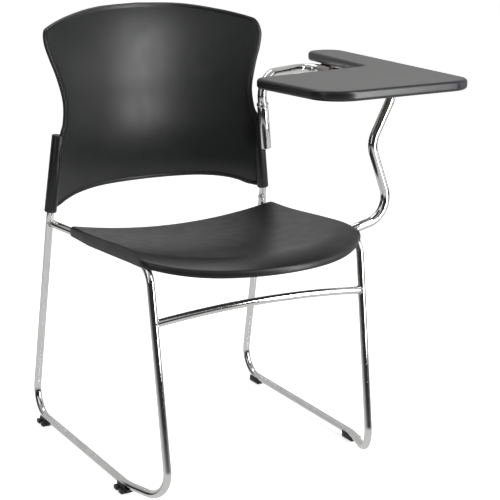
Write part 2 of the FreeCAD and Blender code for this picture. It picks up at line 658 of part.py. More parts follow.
saddleLow = size("lowBoltHeight") - size("saddleMargin")
saddleHigh = size("highBoltHeight") + size("saddleMargin")
saddleBox = doc.addObject("Part::Box", "saddleBox")
bind(saddleBox, Length="dims.saddleBlock")
saddleBox.Width = -socketShift.y
saddleBox.Height = (postPoint(saddleHigh) - postPoint(saddleLow)).Length
turn = FreeCAD.Rotation(up, postAxis)
saddleBox.Placement = FreeCAD.Placement(
    socketPoint(saddleLow) - turn.multVec(Vector(size("saddleBlock") / 2, 0, 0)), turn)
socketCore = rod("socketCore", socketPoint(saddleLow - 20), socketPoint(saddleHigh + 20),
                 "dims.socketOuter / 2")
sleeveCore = rod("sleeveCore", postPoint(saddleLow - 20), postPoint(saddleHigh + 20),
                 "dims.sleeveOuter / 2")
saddleHoles = [rod(f"saddleHole{i}", postPoint(h) - Vector(0, 60, 0), postPoint(h), "dims.socketBolt / 2")
               for i, h in enumerate(boltHeights)]
node("socket_saddle", cut("saddle", saddleBox, socketCore, sleeveCore, back, *saddleHoles))
socketBolts = []
for i, height in enumerate(boltHeights):
    centre = postPoint(height)
    rearFace = centre + Vector(0, sleeveRadius + 0.2, 0)
    tip = centre - Vector(0, sleeveRadius + size("socketGap") + 1.5, 0)
    socketBolts.append(fuse(f"socketBolt{i}",
                            rod(f"boltShank{i}", tip, rearFace, "dims.socketBolt / 2 - 0.05"),
                            rod(f"boltHead{i}", rearFace,
                                rearFace + Vector(0, size("boltHeadHeight"), 0),
                                "dims.socketBolt * 0.85")))
boltGroup = doc.addObject("Part::Compound", "boltGroup")
boltGroup.Links = socketBolts
node("socket_bolts", cut("bolts", boltGroup, socketCore))

# ---------------------------------------------------------------- arm tube
hingeX, hingeZ = size("hingeHalf"), size("hingeHeight")
armY = size("armFrontReach")
socketTopPoint = socketPoint(size("socketTop"))
riseShare = (size("armRise") - socketTopPoint.z) / postAxis.z
armCorners = [
    socketPoint(size("socketFoot") + 6),
    socketTopPoint + postAxis * riseShare,
    Vector(hingeX, size("armRearReach"), hingeZ),
    Vector(hingeX, armY, hingeZ),
    Vector(size("armKneeHalf"), armY, size("armKneeHeight")),
    Vector(size("armBulgeHalf"), armY, size("armBulgeHeight")),
    Vector(size("armFootHalf"), armY, size("armFootHeight")),
]
armRadii = [size("armFirstBend"), size("armRearBend"), size("armFrontBend"), size("armKneeBend"),
            size("armKneeBend")]
armPath = bentPath(armCorners, armRadii)
armOuter = swept("armBar", armPath, "dims.armTube / 2")
armBore = swept("armBore", armPath, "dims.armTube / 2 - dims.armWall")
node("arm_tube", cut("arm", armOuter, armBore, footBoltHole))

# foot: a saddle between the tube and the rail, inside the seat's skirt, on one through bolt
footBox = doc.addObject("Part::Box", "footBox")
bind(footBox, Length="dims.footBlockIn + dims.footBlockOut", Width="dims.footBlockWidth")
footBox.Height = footRail.z - size("armFootHeight")
footBox.Placement.Base = Vector(footRail.x - size("footBlockIn"), armY - size("footBlockWidth") / 2,
                                size("armFootHeight"))
node("foot_saddle", cut("foot", footBox, armOuter, frameOuter, footBoltHole))
footX = footRail.x
armSlope = (armCorners[-2] - armCorners[-1]).normalize()
footAxisZ = armCorners[-1].z + (footX - armCorners[-1].x) * armSlope.z / armSlope.x
boltLow, boltHigh = footAxisZ - armRadius - 1.6, footRail.z + frameRadius + 0.4
node("foot_bolt", fuse("footBolt",
                       rod("footShank", Vector(footX, armY, boltLow), Vector(footX, armY, boltHigh + 4),
                           "dims.footBolt / 2 - 0.05"),
                       rod("footHead", Vector(footX, armY, boltLow - size("boltHeadHeight")),
                           Vector(footX, armY, boltLow), "dims.footBolt * 0.85")))
nut = doc.addObject("Part::Prism", "footNut")
nut.Polygon = 6
bind(nut, Circumradius="dims.footBolt * 0.95", Height="dims.nutHeight")
nut.Placement.Base = Vector(footX, armY, boltHigh)
node("foot_nut", cut("nut", nut, rod("nutHole", Vector(footX, armY, boltHigh - 1),
                                     Vector(footX, armY, boltHigh + 6), "dims.footBolt / 2")))

# ---------------------------------------------------------------- tablet
tabletTop, tabletThick = size("tabletTop"), size("tabletThick")
tabletUnder = tabletTop - tabletThick
tabletCorners = [
    (size("tabletInnerTip"), size("tabletTipReach")),
    (size("tabletInnerFront"), size("tabletFront")),
    (size("tabletOuterFront"), size("tabletFront") + size("tabletFrontSkew")),
    (size("tabletOuterRear"), size("tabletRear")),
    (size("lobeInner"), size("tabletRear")),
    (size("notchHalf"), size("notchReach")),
]
tabletRadii = [size("innerTipRound"), size("innerFrontRound"), size("outerFrontRound"),
               size("outerRearRound"), size("lobeRound"), size("notchRound")]
tabletOutline = roundedOutline(tabletCorners, tabletRadii, tabletUnder)
slab = prism(tabletOutline, tabletThick)
rims = [edge for edge in slab.Edges if edge.BoundBox.ZLength < 0.01]
softSlab = slab.makeFillet(size("edgeRound"), rims)
coreOutline = tabletOutline.makeOffset2D(-size("edgeBand"))
corePrism = prism(coreOutline, tabletThick)
hingePlaces = [size("saddleFrontReach"), size("saddleRearReach")]
screwX = size("flangeReach") - size("hingeScrewInset")
screwY = size("flangeLength") / 2 - size("hingeScrewInset")
tabletScrewPlaces = [(hingeX + screwX, reach + side * screwY)
                     for reach in hingePlaces for side in (-1, 1)]
node("tablet_edge", feature("tabletEdge", softSlab.cut(corePrism)))
coreSolid = prism(coreOutline, tabletThick - size("laminate"))
pilotTop = tabletUnder + size("hingeScrewLength")
for x, y in tabletScrewPlaces:
    coreSolid = coreSolid.cut(Part.makeCylinder(size("hingeScrew") / 2, size("hingeScrewLength"),
                                                Vector(x, y, tabletUnder)))
node("tablet_board", feature("tabletBoard", coreSolid))
laminateOutline = coreOutline.copy()
laminateOutline.translate(Vector(0, 0, tabletThick - size("laminate")))
node("tablet_laminate", feature("tabletLaminate", prism(laminateOutline, size("laminate"))))

# ---------------------------------------------------------------- tablet hinge
linerInner = armRadius + size("hingeRunning")
linerOuter = linerInner + size("linerWall")
ringOuter = linerOuter + size("saddleWall")
flangeThick = size("saddleWall")
for tag, reach in (("front", hingePlaces[0]), ("rear", hingePlaces[1])):
    start = Vector(hingeX, reach - size("ringLength") / 2, hingeZ)
    end = Vector(hingeX, reach + size("ringLength") / 2, hingeZ)
    lead = Vector(0, 5, 0)
    liner = cut(f"liner{tag}", rod(f"linerBar{tag}", start, end,
                                   "dims.armTube / 2 + dims.hingeRunning + dims.linerWall"),
                rod(f"linerBore{tag}", start - lead, end + lead, "dims.armTube / 2 + dims.hingeRunning"))
    node(f"hinge_liner_{tag}", liner)
    ring = rod(f"saddleRing{tag}", start, end, "dims.armTube / 2 + dims.hingeRunning"
               " + dims.linerWall + dims.saddleWall")
    flange = doc.addObject("Part::Box", f"saddleFlange{tag}")
    bind(flange, Length="dims.flangeReach", Width="dims.flangeLength", Height="dims.saddleWall")
    flange.Placement.Base = Vector(hingeX, reach - size("flangeLength") / 2, tabletUnder - flangeThick)
    holes = [rod(f"flangeHole{tag}{i}", Vector(x, y, tabletUnder - 10), Vector(x, y, tabletUnder + 10),
                 "dims.hingeScrew / 2 + 0.2")
             for i, (x, y) in enumerate(tabletScrewPlaces) if abs(y - reach) < size("flangeLength")]
    saddle = cut(f"saddle{tag}", fuse(f"saddle{tag}", ring, flange),
                 rod(f"saddleBore{tag}", start - lead * 4, end + lead * 4,
                     "dims.armTube / 2 + dims.hingeRunning + dims.linerWall"), *holes)
    node(f"hinge_saddle_{tag}", saddle)
tabletScrews = []
for i, (x, y) in enumerate(tabletScrewPlaces):
    seatZ = tabletUnder - flangeThick
    tabletScrews.append(fuse(f"tabletScrew{i}",
                             rod(f"screwShank{i}", Vector(x, y, seatZ - 0.5), Vector(x, y, pilotTop - 1),
                                 "dims.hingeScrew / 2 - 0.05"),
                             rod(f"screwHead{i}", Vector(x, y, seatZ - size("hingeHeadHeight")),
                                 Vector(x, y, seatZ), "dims.hingeScrew")))
tabletScrewGroup = doc.addObject("Part::Compound", "tabletScrewGroup")
tabletScrewGroup.Links = tabletScrews
node("hinge_screws", tabletScrewGroup)

# collars on the tube keep the hinge in place; the front one carries both stops
collarOuter = armRadius + size("collarWall")


def collar(tag, y0, y1):
    start, end = Vector(hingeX, y0, hingeZ), Vector(hingeX, y1, hingeZ)
    return rod(f"collar{tag}", start, end, "dims.armTube / 2 + dims.collarWall")


halfRing = size("ringLength") / 2 + size("collarGap")
frontEnd = hingePlaces[0] - halfRing
rearStart = hingePlaces[1] + halfRing
node("thrust_collar", cut("thrust", collar("Rear", rearStart, rearStart + size("collarLength")), armOuter))
lugTop = tabletUnder - hingeZ - size("bumperThick") - size("stopGap")


def lug(tag, angle):
    """A stop arm: its face lies square to the rest plane once turned by angle about the tube."""
    arm = doc.addObject("Part::Box", f"lug{tag}")
    bind(arm, Length="dims.lugReach", Width="dims.collarLength", Height="dims.lugThick")
    turn = FreeCAD.Rotation(Vector(0, 1, 0), angle)
    low = Vector(-size("lugReach"), 0, lugTop - size("lugThick"))
    if tag == "Open":
        low = Vector(0, 0, lugTop - size("lugThick"))
    arm.Placement = FreeCAD.Placement(Vector(hingeX, frontEnd - size("collarLength"), hingeZ)
                                      + turn.multVec(low), turn)
    pad = doc.addObject("Part::Box", f"pad{tag}")
    bind(pad, Length="dims.bumperLength", Width="dims.collarLength", Height="dims.bumperThick")
    padLow = Vector(-size("lugReach"), 0, lugTop)
    if tag == "Open":
        padLow = Vector(size("lugReach") - size("bumperLength"), 0, lugTop)
    pad.Placement = FreeCAD.Placement(Vector(hingeX, frontEnd - size("collarLength"), hingeZ)
                                      + turn.multVec(padLow), turn)
    return arm, pad


restLug, restPad = lug("Rest", 0)
openLug, openPad = lug("Open", size("openAngle"))
stop = fuse("stop", collar("Front", frontEnd - size("collarLength"), frontEnd), restLug, openLug)
node("stop_collar", cut("stop", stop, armOuter))
bumperGroup = doc.addObject("Part::Compound", "bumperGroup")
bumperGroup.Links = [restPad, openPad]
node("stop_bumpers", bumperGroup)

# ---------------------------------------------------------------- check, place and write
doc.recompute()
failed = [item.Name for item in doc.Objects if {"Invalid", "Error"} & set(item.State)]
for name, item in nodes.items():
    if item.Shape.isNull() or not item.Shape.isValid() or not item.Shape.Solids:
        failed.append(name)
if failed:
    raise RuntimeError("failed: " + ", ".join(failed))
whole = FreeCAD.BoundBox()
for item in nodes.values():
    whole.add(item.Shape.optimalBoundingBox(True, False))
origin = Vector(-(whole.XMin + whole.XMax) / 2, -(whole.YMin + whole.YMax) / 2, -whole.ZMin)
for name, item in nodes.items():
    shape = item.Shape.copy()
    shape.translate(origin)
    final = feature(f"final_{name}", shape)
    final.Shape.exportStep(f"parts/{name}.step")
    print(f"{name:20s} solids {len(shape.Solids)} volume {shape.Volume / 1000:9.2f} cm3")
print("overall", [round(v, 2) for v in (whole.XLength, whole.YLength, whole.ZLength)],
      "origin shift", [round(v, 3) for v in origin])
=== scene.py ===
import bpy
import json
import math
from mathutils import Matrix, Vector


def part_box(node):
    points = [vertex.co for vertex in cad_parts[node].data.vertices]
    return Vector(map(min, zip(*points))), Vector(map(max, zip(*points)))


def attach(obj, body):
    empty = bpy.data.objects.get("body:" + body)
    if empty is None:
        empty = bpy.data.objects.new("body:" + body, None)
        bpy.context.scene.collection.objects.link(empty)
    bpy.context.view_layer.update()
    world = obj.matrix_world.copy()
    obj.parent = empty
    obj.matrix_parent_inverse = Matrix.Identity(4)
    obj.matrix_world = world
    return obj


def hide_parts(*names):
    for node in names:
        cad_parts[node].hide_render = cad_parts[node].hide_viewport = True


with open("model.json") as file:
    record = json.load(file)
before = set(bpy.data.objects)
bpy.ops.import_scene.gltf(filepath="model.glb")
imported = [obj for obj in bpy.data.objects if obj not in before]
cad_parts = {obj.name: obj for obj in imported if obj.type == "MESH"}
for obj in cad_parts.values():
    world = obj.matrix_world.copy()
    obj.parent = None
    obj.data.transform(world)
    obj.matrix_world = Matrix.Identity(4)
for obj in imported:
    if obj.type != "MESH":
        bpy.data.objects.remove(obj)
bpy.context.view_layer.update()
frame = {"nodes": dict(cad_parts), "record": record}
record = frame["record"]
print("frame loaded:", len(frame["nodes"]), "nodes")

# Design sizes below are millimetres from the chair's own zero: its mid plane, the
# seat's rear edge less seatReach, and the floor. place() turns them into the frame.
seatReach = 299
seatLow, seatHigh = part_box("seat_shell")
chairMiddle = (seatLow.x + seatHigh.x) / 2
chairZero = seatHigh.y - seatReach / 1000


def place(x, y, z):
    return Vector((chairMiddle + x / 1000, chairZero + y / 1000, z / 1000))


def mix(a, b, share):
    return a + (b - a) * share


def ease(low, high, value):
    share = min(1, max(0, (value - low) / (high - low)))
    return share * share * (3 - 2 * share)


# materials: every pattern reads Object coordinates, which are the frame's metres

def startMaterial(name):
    material = bpy.data.materials.new(name)
    material.use_nodes = True
    material.node_tree.nodes.clear()
    return material


def addNode(material, kind, **settings):
    node = material.node_tree.nodes.new(kind)
    for key, value in settings.items():
        setattr(node, key, value)
    return node


def link(material, source, target):
    material.node_tree.links.new(source, target)


def objectNoise(material, scale, detail=2.0, roughness=0.5, stretch=None):
    coordinates = addNode(material, "ShaderNodeTexCoord")
    noise = addNode(material, "ShaderNodeTexNoise")
    noise.inputs["Scale"].default_value = scale
    noise.inputs["Detail"].default_value = detail
    noise.inputs["Roughness"].default_value = roughness
    if stretch:
        mapping = addNode(material, "ShaderNodeMapping")
        mapping.inputs["Scale"].default_value = stretch
        link(material, coordinates.outputs["Object"], mapping.inputs["Vector"])
        link(material, mapping.outputs["Vector"], noise.inputs["Vector"])
    else:
        link(material, coordinates.outputs["Object"], noise.inputs["Vector"])
    return noise.outputs["Fac"]


def ramp(material, factor, stops):
    node = addNode(material, "ShaderNodeValToRGB")
    elements = node.color_ramp.elements
    while len(elements) > len(stops):
        elements.remove(elements[-1])
    while len(elements) < len(stops):
        elements.new(1)
    for element, (position, colour) in zip(elements, stops):
        element.position = position
        element.color = (*colour, 1)
    link(material, factor, node.inputs["Fac"])
    return node.outputs["Color"]


def spread(material, factor, low, high, fromLow=0.3, fromHigh=0.7):
    node = addNode(material, "ShaderNodeMapRange")
    node.inputs["From Min"].default_value = fromLow
    node.inputs["From Max"].default_value = fromHigh
    node.inputs["To Min"].default_value = low
    node.inputs["To Max"].default_value = high
    link(material, factor, node.inputs["Value"])
    return node.outputs["Result"]


def addBump(material, height, distance, strength=1.0, under=None):
    node = addNode(material, "ShaderNodeBump")
    node.inputs["Strength"].default_value = strength
    node.inputs["Distance"].default_value = distance
    link(material, height, node.inputs["Height"])
    if under:
        link(material, under, node.inputs["Normal"])
    return node.outputs["Normal"]


def finishMaterial(material, colour=None, roughness=None, normal=None, **fixed):
    shader = addNode(material, "ShaderNodeBsdfPrincipled")
    for key, value in fixed.items():
        shader.inputs[key.replace("_", " ")].default_value = value
    if colour:
        link(material, colour, shader.inputs["Base Color"])
    if roughness:
        link(material, roughness, shader.inputs["Roughness"])
    if normal:
        link(material, normal, shader.inputs["Normal"])
    output = addNode(material, "ShaderNodeOutputMaterial")
    link(material, shader.outputs["BSDF"], output.inputs["Surface"])
    return material


def mouldedPlastic(name, dark, light, smooth, rough, grainScale, grainDepth, level=0.5):
    # polypropylene from a spark-eroded mould: a fine even grain over slow tone changes
    material = startMaterial(name)
    cloud = objectNoise(material, 9, detail=3)
    tone = ramp(material, cloud, [(0.3, dark), (0.7, light)])
    wear = objectNoise(material, 38, detail=4, roughness=0.6)
    gloss = spread(material, wear, smooth, rough)
    fine = objectNoise(material, grainScale, detail=2)
    coarse = objectNoise(material, grainScale * 0.42, detail=1)
    normal = addBump(material, fine, grainDepth)
    normal = addBump(material, coarse, grainDepth * 1.4, under=normal)
    return finishMaterial(material, tone, gloss, normal, Specular_IOR_Level=level)


def brightChrome(name, tint, smooth, rough):
    # polished tube, plated: long drawing marks and faint clouding in the gloss
    material = startMaterial(name)
    cloud = objectNoise(material, 26, detail=3)
    tone = ramp(material, cloud, [(0.3, tuple(c * 0.93 for c in tint)), (0.7, tint)])
    marks = objectNoise(material, 60, detail=3, stretch=(6, 1, 1))
    gloss = spread(material, marks, smooth, rough)
    ripple = objectNoise(material, 16, detail=1)
    normal = addBump(material, ripple, 0.00002)
    return finishMaterial(material, tone, gloss, normal, Metallic=1.0)


def platedSteel(name, dark, light, smooth, rough):
    material = startMaterial(name)
    spangle = objectNoise(material, 210, detail=3, roughness=0.65)
    tone = ramp(material, spangle, [(0.32, dark), (0.68, light)])
    gloss = spread(material, spangle, smooth, rough)
    normal = addBump(material, spangle, 0.00005)
    return finishMaterial(material, tone, gloss, normal, Metallic=1.0)


def grippyRubber(name):
    material = startMaterial(name)
    grain = objectNoise(material, 700, detail=3)
    tone = ramp(material, grain, [(0.3, (0.012, 0.012, 0.012)), (0.7, (0.028, 0.027, 0.026))])
    gloss = spread(material, grain, 0.62, 0.78)
    return finishMaterial(material, tone, gloss, addBump(material, grain, 0.00012))


def pressedBoard(name):
    # the underside's backing paper over pressed board, with its short dark fibres
    material = startMaterial(name)
    fibres = objectNoise(material, 90, detail=5, roughness=0.7, stretch=(1, 4, 1))
    tone = ramp(material, fibres, [(0.35, (0.028, 0.025, 0.022)), (0.65, (0.060, 0.053, 0.046))])
    gloss = spread(material, fibres, 0.55, 0.7)
    return finishMaterial(material, tone, gloss, addBump(material, fibres, 0.00008))


def greyLaminate(name):
    # high pressure laminate: dark grey with a very fine fleck and a suede feel
    material = startMaterial(name)
    fleck = objectNoise(material, 620, detail=4, roughness=0.75)
    cloud = objectNoise(material, 7, detail=2)
    fleckTone = ramp(material, fleck, [(0.36, (0.066, 0.067, 0.065)), (0.5, (0.084, 0.085, 0.082)),
                                       (0.66, (0.112, 0.112, 0.107))])
    cloudTone = ramp(material, cloud, [(0.3, (0.93, 0.93, 0.93)), (0.7, (1, 1, 1))])
    blend = addNode(material, "ShaderNodeMix", data_type="RGBA", blend_type="MULTIPLY")
    blend.inputs["Factor"].default_value = 1
    link(material, fleckTone, blend.inputs["A"])
    link(material, cloudTone, blend.inputs["B"])
    gloss = spread(material, fleck, 0.34, 0.46)
    suede = objectNoise(material, 1500, detail=2)
    return finishMaterial(material, blend.outputs["Result"], gloss,
                          addBump(material, suede, 0.00004), Specular_IOR_Level=0.55)


plasticBlack = mouldedPlastic("plasticBlack", (0.0085, 0.0090, 0.0092), (0.0125, 0.0130, 0.0132),
                              0.32, 0.39, 1300, 0.00005, 0.42)
glideBlack = mouldedPlastic("glideBlack", (0.010, 0.010, 0.010), (0.017, 0.017, 0.017),
                            0.36, 0.5, 900, 0.00006)
edgeBlack = mouldedPlastic("edgeBlack", (0.0075, 0.0080, 0.0092), (0.0115, 0.0122, 0.0138),
                           0.27, 0.35, 1100, 0.00003)
linerIvory = mouldedPlastic("linerIvory", (0.50, 0.40, 0.22), (0.62, 0.51, 0.30),
                            0.35, 0.45, 800, 0.00004)
tubeChrome = brightChrome("tubeChrome", (0.80, 0.80, 0.79), 0.07, 0.13)
weldChrome = brightChrome("weldChrome", (0.72, 0.72, 0.71), 0.12, 0.24)
bracketSteel = platedSteel("bracketSteel", (0.30, 0.29, 0.27), (0.46, 0.45, 0.42), 0.24, 0.38)
fastenerSteel = platedSteel("fastenerSteel", (0.50, 0.49, 0.46), (0.68, 0.67, 0.63), 0.18, 0.3)
stopRubber = grippyRubber("stopRubber")
boardBrown = pressedBoard("boardBrown")
laminateGrey = greyLaminate("laminateGrey")
print("materials made")


# mesh helpers

def settle(piece, body, replaced):
    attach(piece, body)
    if replaced:
        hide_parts(*replaced)
    return piece


def makePiece(name, verts, faces, material, body, replaced=(), smooth=True):
    mesh = bpy.data.meshes.new(name)
    mesh.from_pydata([tuple(v) for v in verts], [], faces)
    mesh.validate()
    mesh.polygons.foreach_set("use_smooth", [smooth] * len(mesh.polygons))
    mesh.materials.append(material)
    piece = bpy.data.objects.new(name, mesh)
    bpy.context.scene.collection.objects.link(piece)
    return settle(piece, body, replaced)


class Shell:
    # collects closed surfaces for one piece
    def __init__(self):
        self.verts = []
        self.faces = []

    def add(self, points):
        first = len(self.verts)
        self.verts.extend(points)
        return list(range(first, len(self.verts)))

    def bridge(self, ringA, ringB, flip=False):
        count = len(ringA)
        for i in range(count):
            j = (i + 1) % count
            quad = (ringA[i], ringA[j], ringB[j], ringB[i])
            self.faces.append(tuple(reversed(quad)) if flip else quad)

    def cap(self, ring, flip=False):
        self.faces.append(tuple(reversed(ring)) if flip else tuple(ring))

    def loft(self, rings, capped=True):
        indexed = [self.add(ring) for ring in rings]
        for before, after in zip(indexed, indexed[1:]):
            self.bridge(before, after)
        if capped:
            self.cap(indexed[0], flip=True)
            self.cap(indexed[-1])
        else:
            self.bridge(indexed[-1], indexed[0])


def cornerArc(before, corner, after, radius, stepDegrees):
    # the tangent arc that rounds a corner, from the incoming run to the outgoing one
    toBefore = (before - corner).normalized()
    toAfter = (after - corner).normalized()
    half = toBefore.angle(toAfter) / 2
    bisector = (toBefore + toAfter).normalized()
    centre = corner + bisector * (radius / math.sin(half))
    start = corner + toBefore * (radius / math.tan(half)) - centre
    end = corner + toAfter * (radius / math.tan(half)) - centre
    sweep = start.angle(end)
    steps = max(2, math.ceil(math.degrees(sweep) / stepDegrees))
    points = []
    for i in range(steps + 1):
        share = i / steps
        points.append(centre + (start * math.sin((1 - share) * sweep)
                                + end * math.sin(share * sweep)) / math.sin(sweep))
    return points


def roundedRoute(corners, radii, stepDegrees=4):
    # straight runs joined by tangent arcs
    points = [corners[0]]
    for before, corner, after, radius in zip(corners, corners[1:], corners[2:], radii):
        points.extend(cornerArc(before, corner, after, radius, stepDegrees))
    points.append(corners[-1])
    return points


def tubeRings(route, radii, sides=40):
    # rings carried along the route without twist; radii is one number or one per point
    if not hasattr(radii, "__len__"):
        radii = [radii] * len(route)
    tangents = [(route[min(i + 1, len(route) - 1)] - route[max(i - 1, 0)]).normalized()
                for i in range(len(route))]
    across = tangents[0].orthogonal().normalized()
    rings = []
    for point, tangent, radius in zip(route, tangents, radii):
        across = (across - tangent * across.dot(tangent)).normalized()
        over = tangent.cross(across)
        rings.append([point + (across * math.cos(a) + over * math.sin(a)) * radius
                      for a in (2 * math.pi * k / sides for k in range(sides))])
    return rings


def tubeInto(shell, route, radius, sides=40, edge=0.4):
    # a bar along the route whose two ends are closed and slightly rounded
    scaled = [place(*p) for p in route]
    first = (scaled[1] - scaled[0]).normalized()
    last = (scaled[-1] - scaled[-2]).normalized()
    soft, wide = edge / 1000, radius / 1000
    line = [scaled[0], scaled[0] + first * soft] + scaled[1:-1]
    line += [scaled[-1] - last * soft, scaled[-1]]
    radii = [wide - soft] + [wide] * (len(line) - 2) + [wide - soft]
    shell.loft(tubeRings(line, radii, sides))


def turnedRings(start, axis, profile, sides=48):
    # (radius, distance) pairs revolved about an axis, one ring for each
    across = axis.orthogonal().normalized()
    over = axis.cross(across)
    return [[start + axis * along + (across * math.cos(a) + over * math.sin(a)) * radius
             for a in (2 * math.pi * k / sides for k in range(sides))]
            for radius, along in profile]


def dressNode(name, material):
    node = frame["nodes"][name]
    if not node.material_slots:
        node.data.materials.append(material)
    for holder in node.material_slots:
        holder.material = material


# Geometry Nodes helpers: small trees that repeat a form along points or paths

def newTree(name, sockets):
    tree = bpy.data.node_groups.new(name, "GeometryNodeTree")
    tree.interface.new_socket("Geometry", in_out="INPUT", socket_type="NodeSocketGeometry")
    for label, kind in sockets:
        tree.interface.new_socket(label, in_out="INPUT", socket_type=kind)
    tree.interface.new_socket("Geometry", in_out="OUTPUT", socket_type="NodeSocketGeometry")
    return tree, tree.nodes.new("NodeGroupInput"), tree.nodes.new("NodeGroupOutput")


def putNode(tree, kind, inputs, **settings):
    # inputs: socket name or number to a value, or to another node's output
    node = tree.nodes.new(kind)
    for key, value in settings.items():
        setattr(node, key, value)
    for key, value in inputs.items():
        if isinstance(value, bpy.types.NodeSocket):
            tree.links.new(value, node.inputs[key])
        else:
            node.inputs[key].default_value = value
    return node


def runTree(name, tree, verts, edges, attributes, values, body, replaced=()):
    # grows the tree on a carrier mesh, keeps the result as a plain mesh and drops the carrier
    mesh = bpy.data.meshes.new(name + "Carrier")
    mesh.from_pydata([tuple(v) for v in verts], edges, [])
    for label, (kind, rows) in attributes.items():
        layer = mesh.attributes.new(label, kind, "POINT")
        for item, row in zip(layer.data, rows):
            if kind == "FLOAT_VECTOR":
                item.vector = row
            else:
                item.value = row
    carrier = bpy.data.objects.new(name + "Carrier", mesh)
    bpy.context.scene.collection.objects.link(carrier)
    modifier = carrier.modifiers.new("grow", "NODES")
    modifier.node_group = tree
    for item in tree.interface.items_tree:
        if item.item_type == "SOCKET" and item.in_out == "INPUT" and item.name in values:
            modifier[item.identifier] = values[item.name]
    bpy.context.view_layer.update()
    graph = bpy.context.evaluated_depsgraph_get()
    grown = bpy.data.meshes.new_from_object(carrier.evaluated_get(graph))
    carrier.modifiers.remove(modifier)
    bpy.data.objects.remove(carrier)
    grown.name = name
    grown.polygons.foreach_set("use_smooth", [True] * len(grown.polygons))
    grown.set_sharp_from_angle(angle=math.radians(34))
    piece = bpy.data.objects.new(name, grown)
    bpy.context.scene.collection.objects.link(piece)
    return settle(piece, body, replaced)


def fastenerTree():
    # a domed head with a hex socket and its shank, on each point, along the point's axis
    tree, source, target = newTree("fastenerTree", [
        ("Head Radius", "NodeSocketFloat"), ("Head Height", "NodeSocketFloat"),
        ("Shank Radius", "NodeSocketFloat"), ("Socket Radius", "NodeSocketFloat"),
        ("Dome", "NodeSocketFloat"), ("Finish", "NodeSocketMaterial")])
    size = source.outputs
    head = putNode(tree, "GeometryNodeMeshCylinder", {
        "Vertices": 36, "Side Segments": 3, "Fill Segments": 7,
        "Radius": size["Head Radius"], "Depth": size["Head Height"]})
    position = putNode(tree, "GeometryNodeInputPosition", {})
    parts = putNode(tree, "ShaderNodeSeparateXYZ", {0: position.outputs[0]})
    flatPart = putNode(tree, "ShaderNodeCombineXYZ", {"X": parts.outputs["X"], "Y": parts.outputs["Y"]})
    reach = putNode(tree, "ShaderNodeVectorMath", {0: flatPart.outputs[0]}, operation="LENGTH")
    share = putNode(tree, "ShaderNodeMath", {0: reach.outputs["Value"], 1: size["Head Radius"]},
                    operation="DIVIDE")
    bow = putNode(tree, "ShaderNodeMath", {0: share.outputs[0], 1: 2.6}, operation="POWER")
    drop = putNode(tree, "ShaderNodeMath", {0: bow.outputs[0], 1: size["Dome"]}, operation="MULTIPLY")
    onTop = putNode(tree, "ShaderNodeMath", {0: parts.outputs["Z"], 1: 0.0}, operation="GREATER_THAN")
    fall = putNode(tree, "ShaderNodeMath", {0: drop.outputs[0], 1: onTop.outputs[0]},
                   operation="MULTIPLY")
    halfHeight = putNode(tree, "ShaderNodeMath", {0: size["Head Height"], 1: 0.5}, operation="MULTIPLY")
    lift = putNode(tree, "ShaderNodeMath", {0: halfHeight.outputs[0], 1: fall.outputs[0]},
                   operation="SUBTRACT")
    offset = putNode(tree, "ShaderNodeCombineXYZ", {"Z": lift.outputs[0]})
    domed = putNode(tree, "GeometryNodeSetPosition", {
        "Geometry": head.outputs["Mesh"], "Offset": offset.outputs[0]})
    hexBar = putNode(tree, "GeometryNodeMeshCylinder", {
        "Vertices": 6, "Radius": size["Socket Radius"], "Depth": size["Head Height"]})
    hexLift = putNode(tree, "ShaderNodeCombineXYZ", {"Z": size["Head Height"]})
    hexPlaced = putNode(tree, "GeometryNodeTransform", {
        "Geometry": hexBar.outputs["Mesh"], "Translation": hexLift.outputs[0]})
    socketed = putNode(tree, "GeometryNodeMeshBoolean", {
        "Mesh 1": domed.outputs[0], "Mesh 2": hexPlaced.outputs[0]}, operation="DIFFERENCE",
        solver="EXACT")
    shank = putNode(tree, "GeometryNodeMeshCylinder", {
        "Vertices": 24, "Radius": size["Shank Radius"], "Depth": 1.04})
    shankPlaced = putNode(tree, "GeometryNodeTransform", {
        "Geometry": shank.outputs["Mesh"], "Translation": (0, 0, -0.48)})
    axis = putNode(tree, "GeometryNodeInputNamedAttribute", {"Name": "axis"}, data_type="FLOAT_VECTOR")
    turn = putNode(tree, "FunctionNodeAlignRotationToVector", {"Vector": axis.outputs["Attribute"]},
                   axis="Z")
    length = putNode(tree, "GeometryNodeInputNamedAttribute", {"Name": "shank"}, data_type="FLOAT")
    stretch = putNode(tree, "ShaderNodeCombineXYZ", {"X": 1, "Y": 1, "Z": length.outputs["Attribute"]})
    heads = putNode(tree, "GeometryNodeInstanceOnPoints", {
        "Points": source.outputs["Geometry"], "Instance": socketed.outputs["Mesh"],
        "Rotation": turn.outputs["Rotation"]})
    shanks = putNode(tree, "GeometryNodeInstanceOnPoints", {
        "Points": source.outputs["Geometry"], "Instance": shankPlaced.outputs[0],
        "Rotation": turn.outputs["Rotation"], "Scale": stretch.outputs[0]})
    joined = putNode(tree, "GeometryNodeJoinGeometry", {})
    tree.links.new(heads.outputs[0], joined.inputs[0])
    tree.links.new(shanks.outputs[0], joined.inputs[0])
    solid = putNode(tree, "GeometryNodeRealizeInstances", {"Geometry": joined.outputs[0]})
    finished = putNode(tree, "GeometryNodeSetMaterial", {
        "Geometry": solid.outputs[0], "Material": size["Finish"]})
    tree.links.new(finished.outputs[0], target.inputs[0])
    return tree


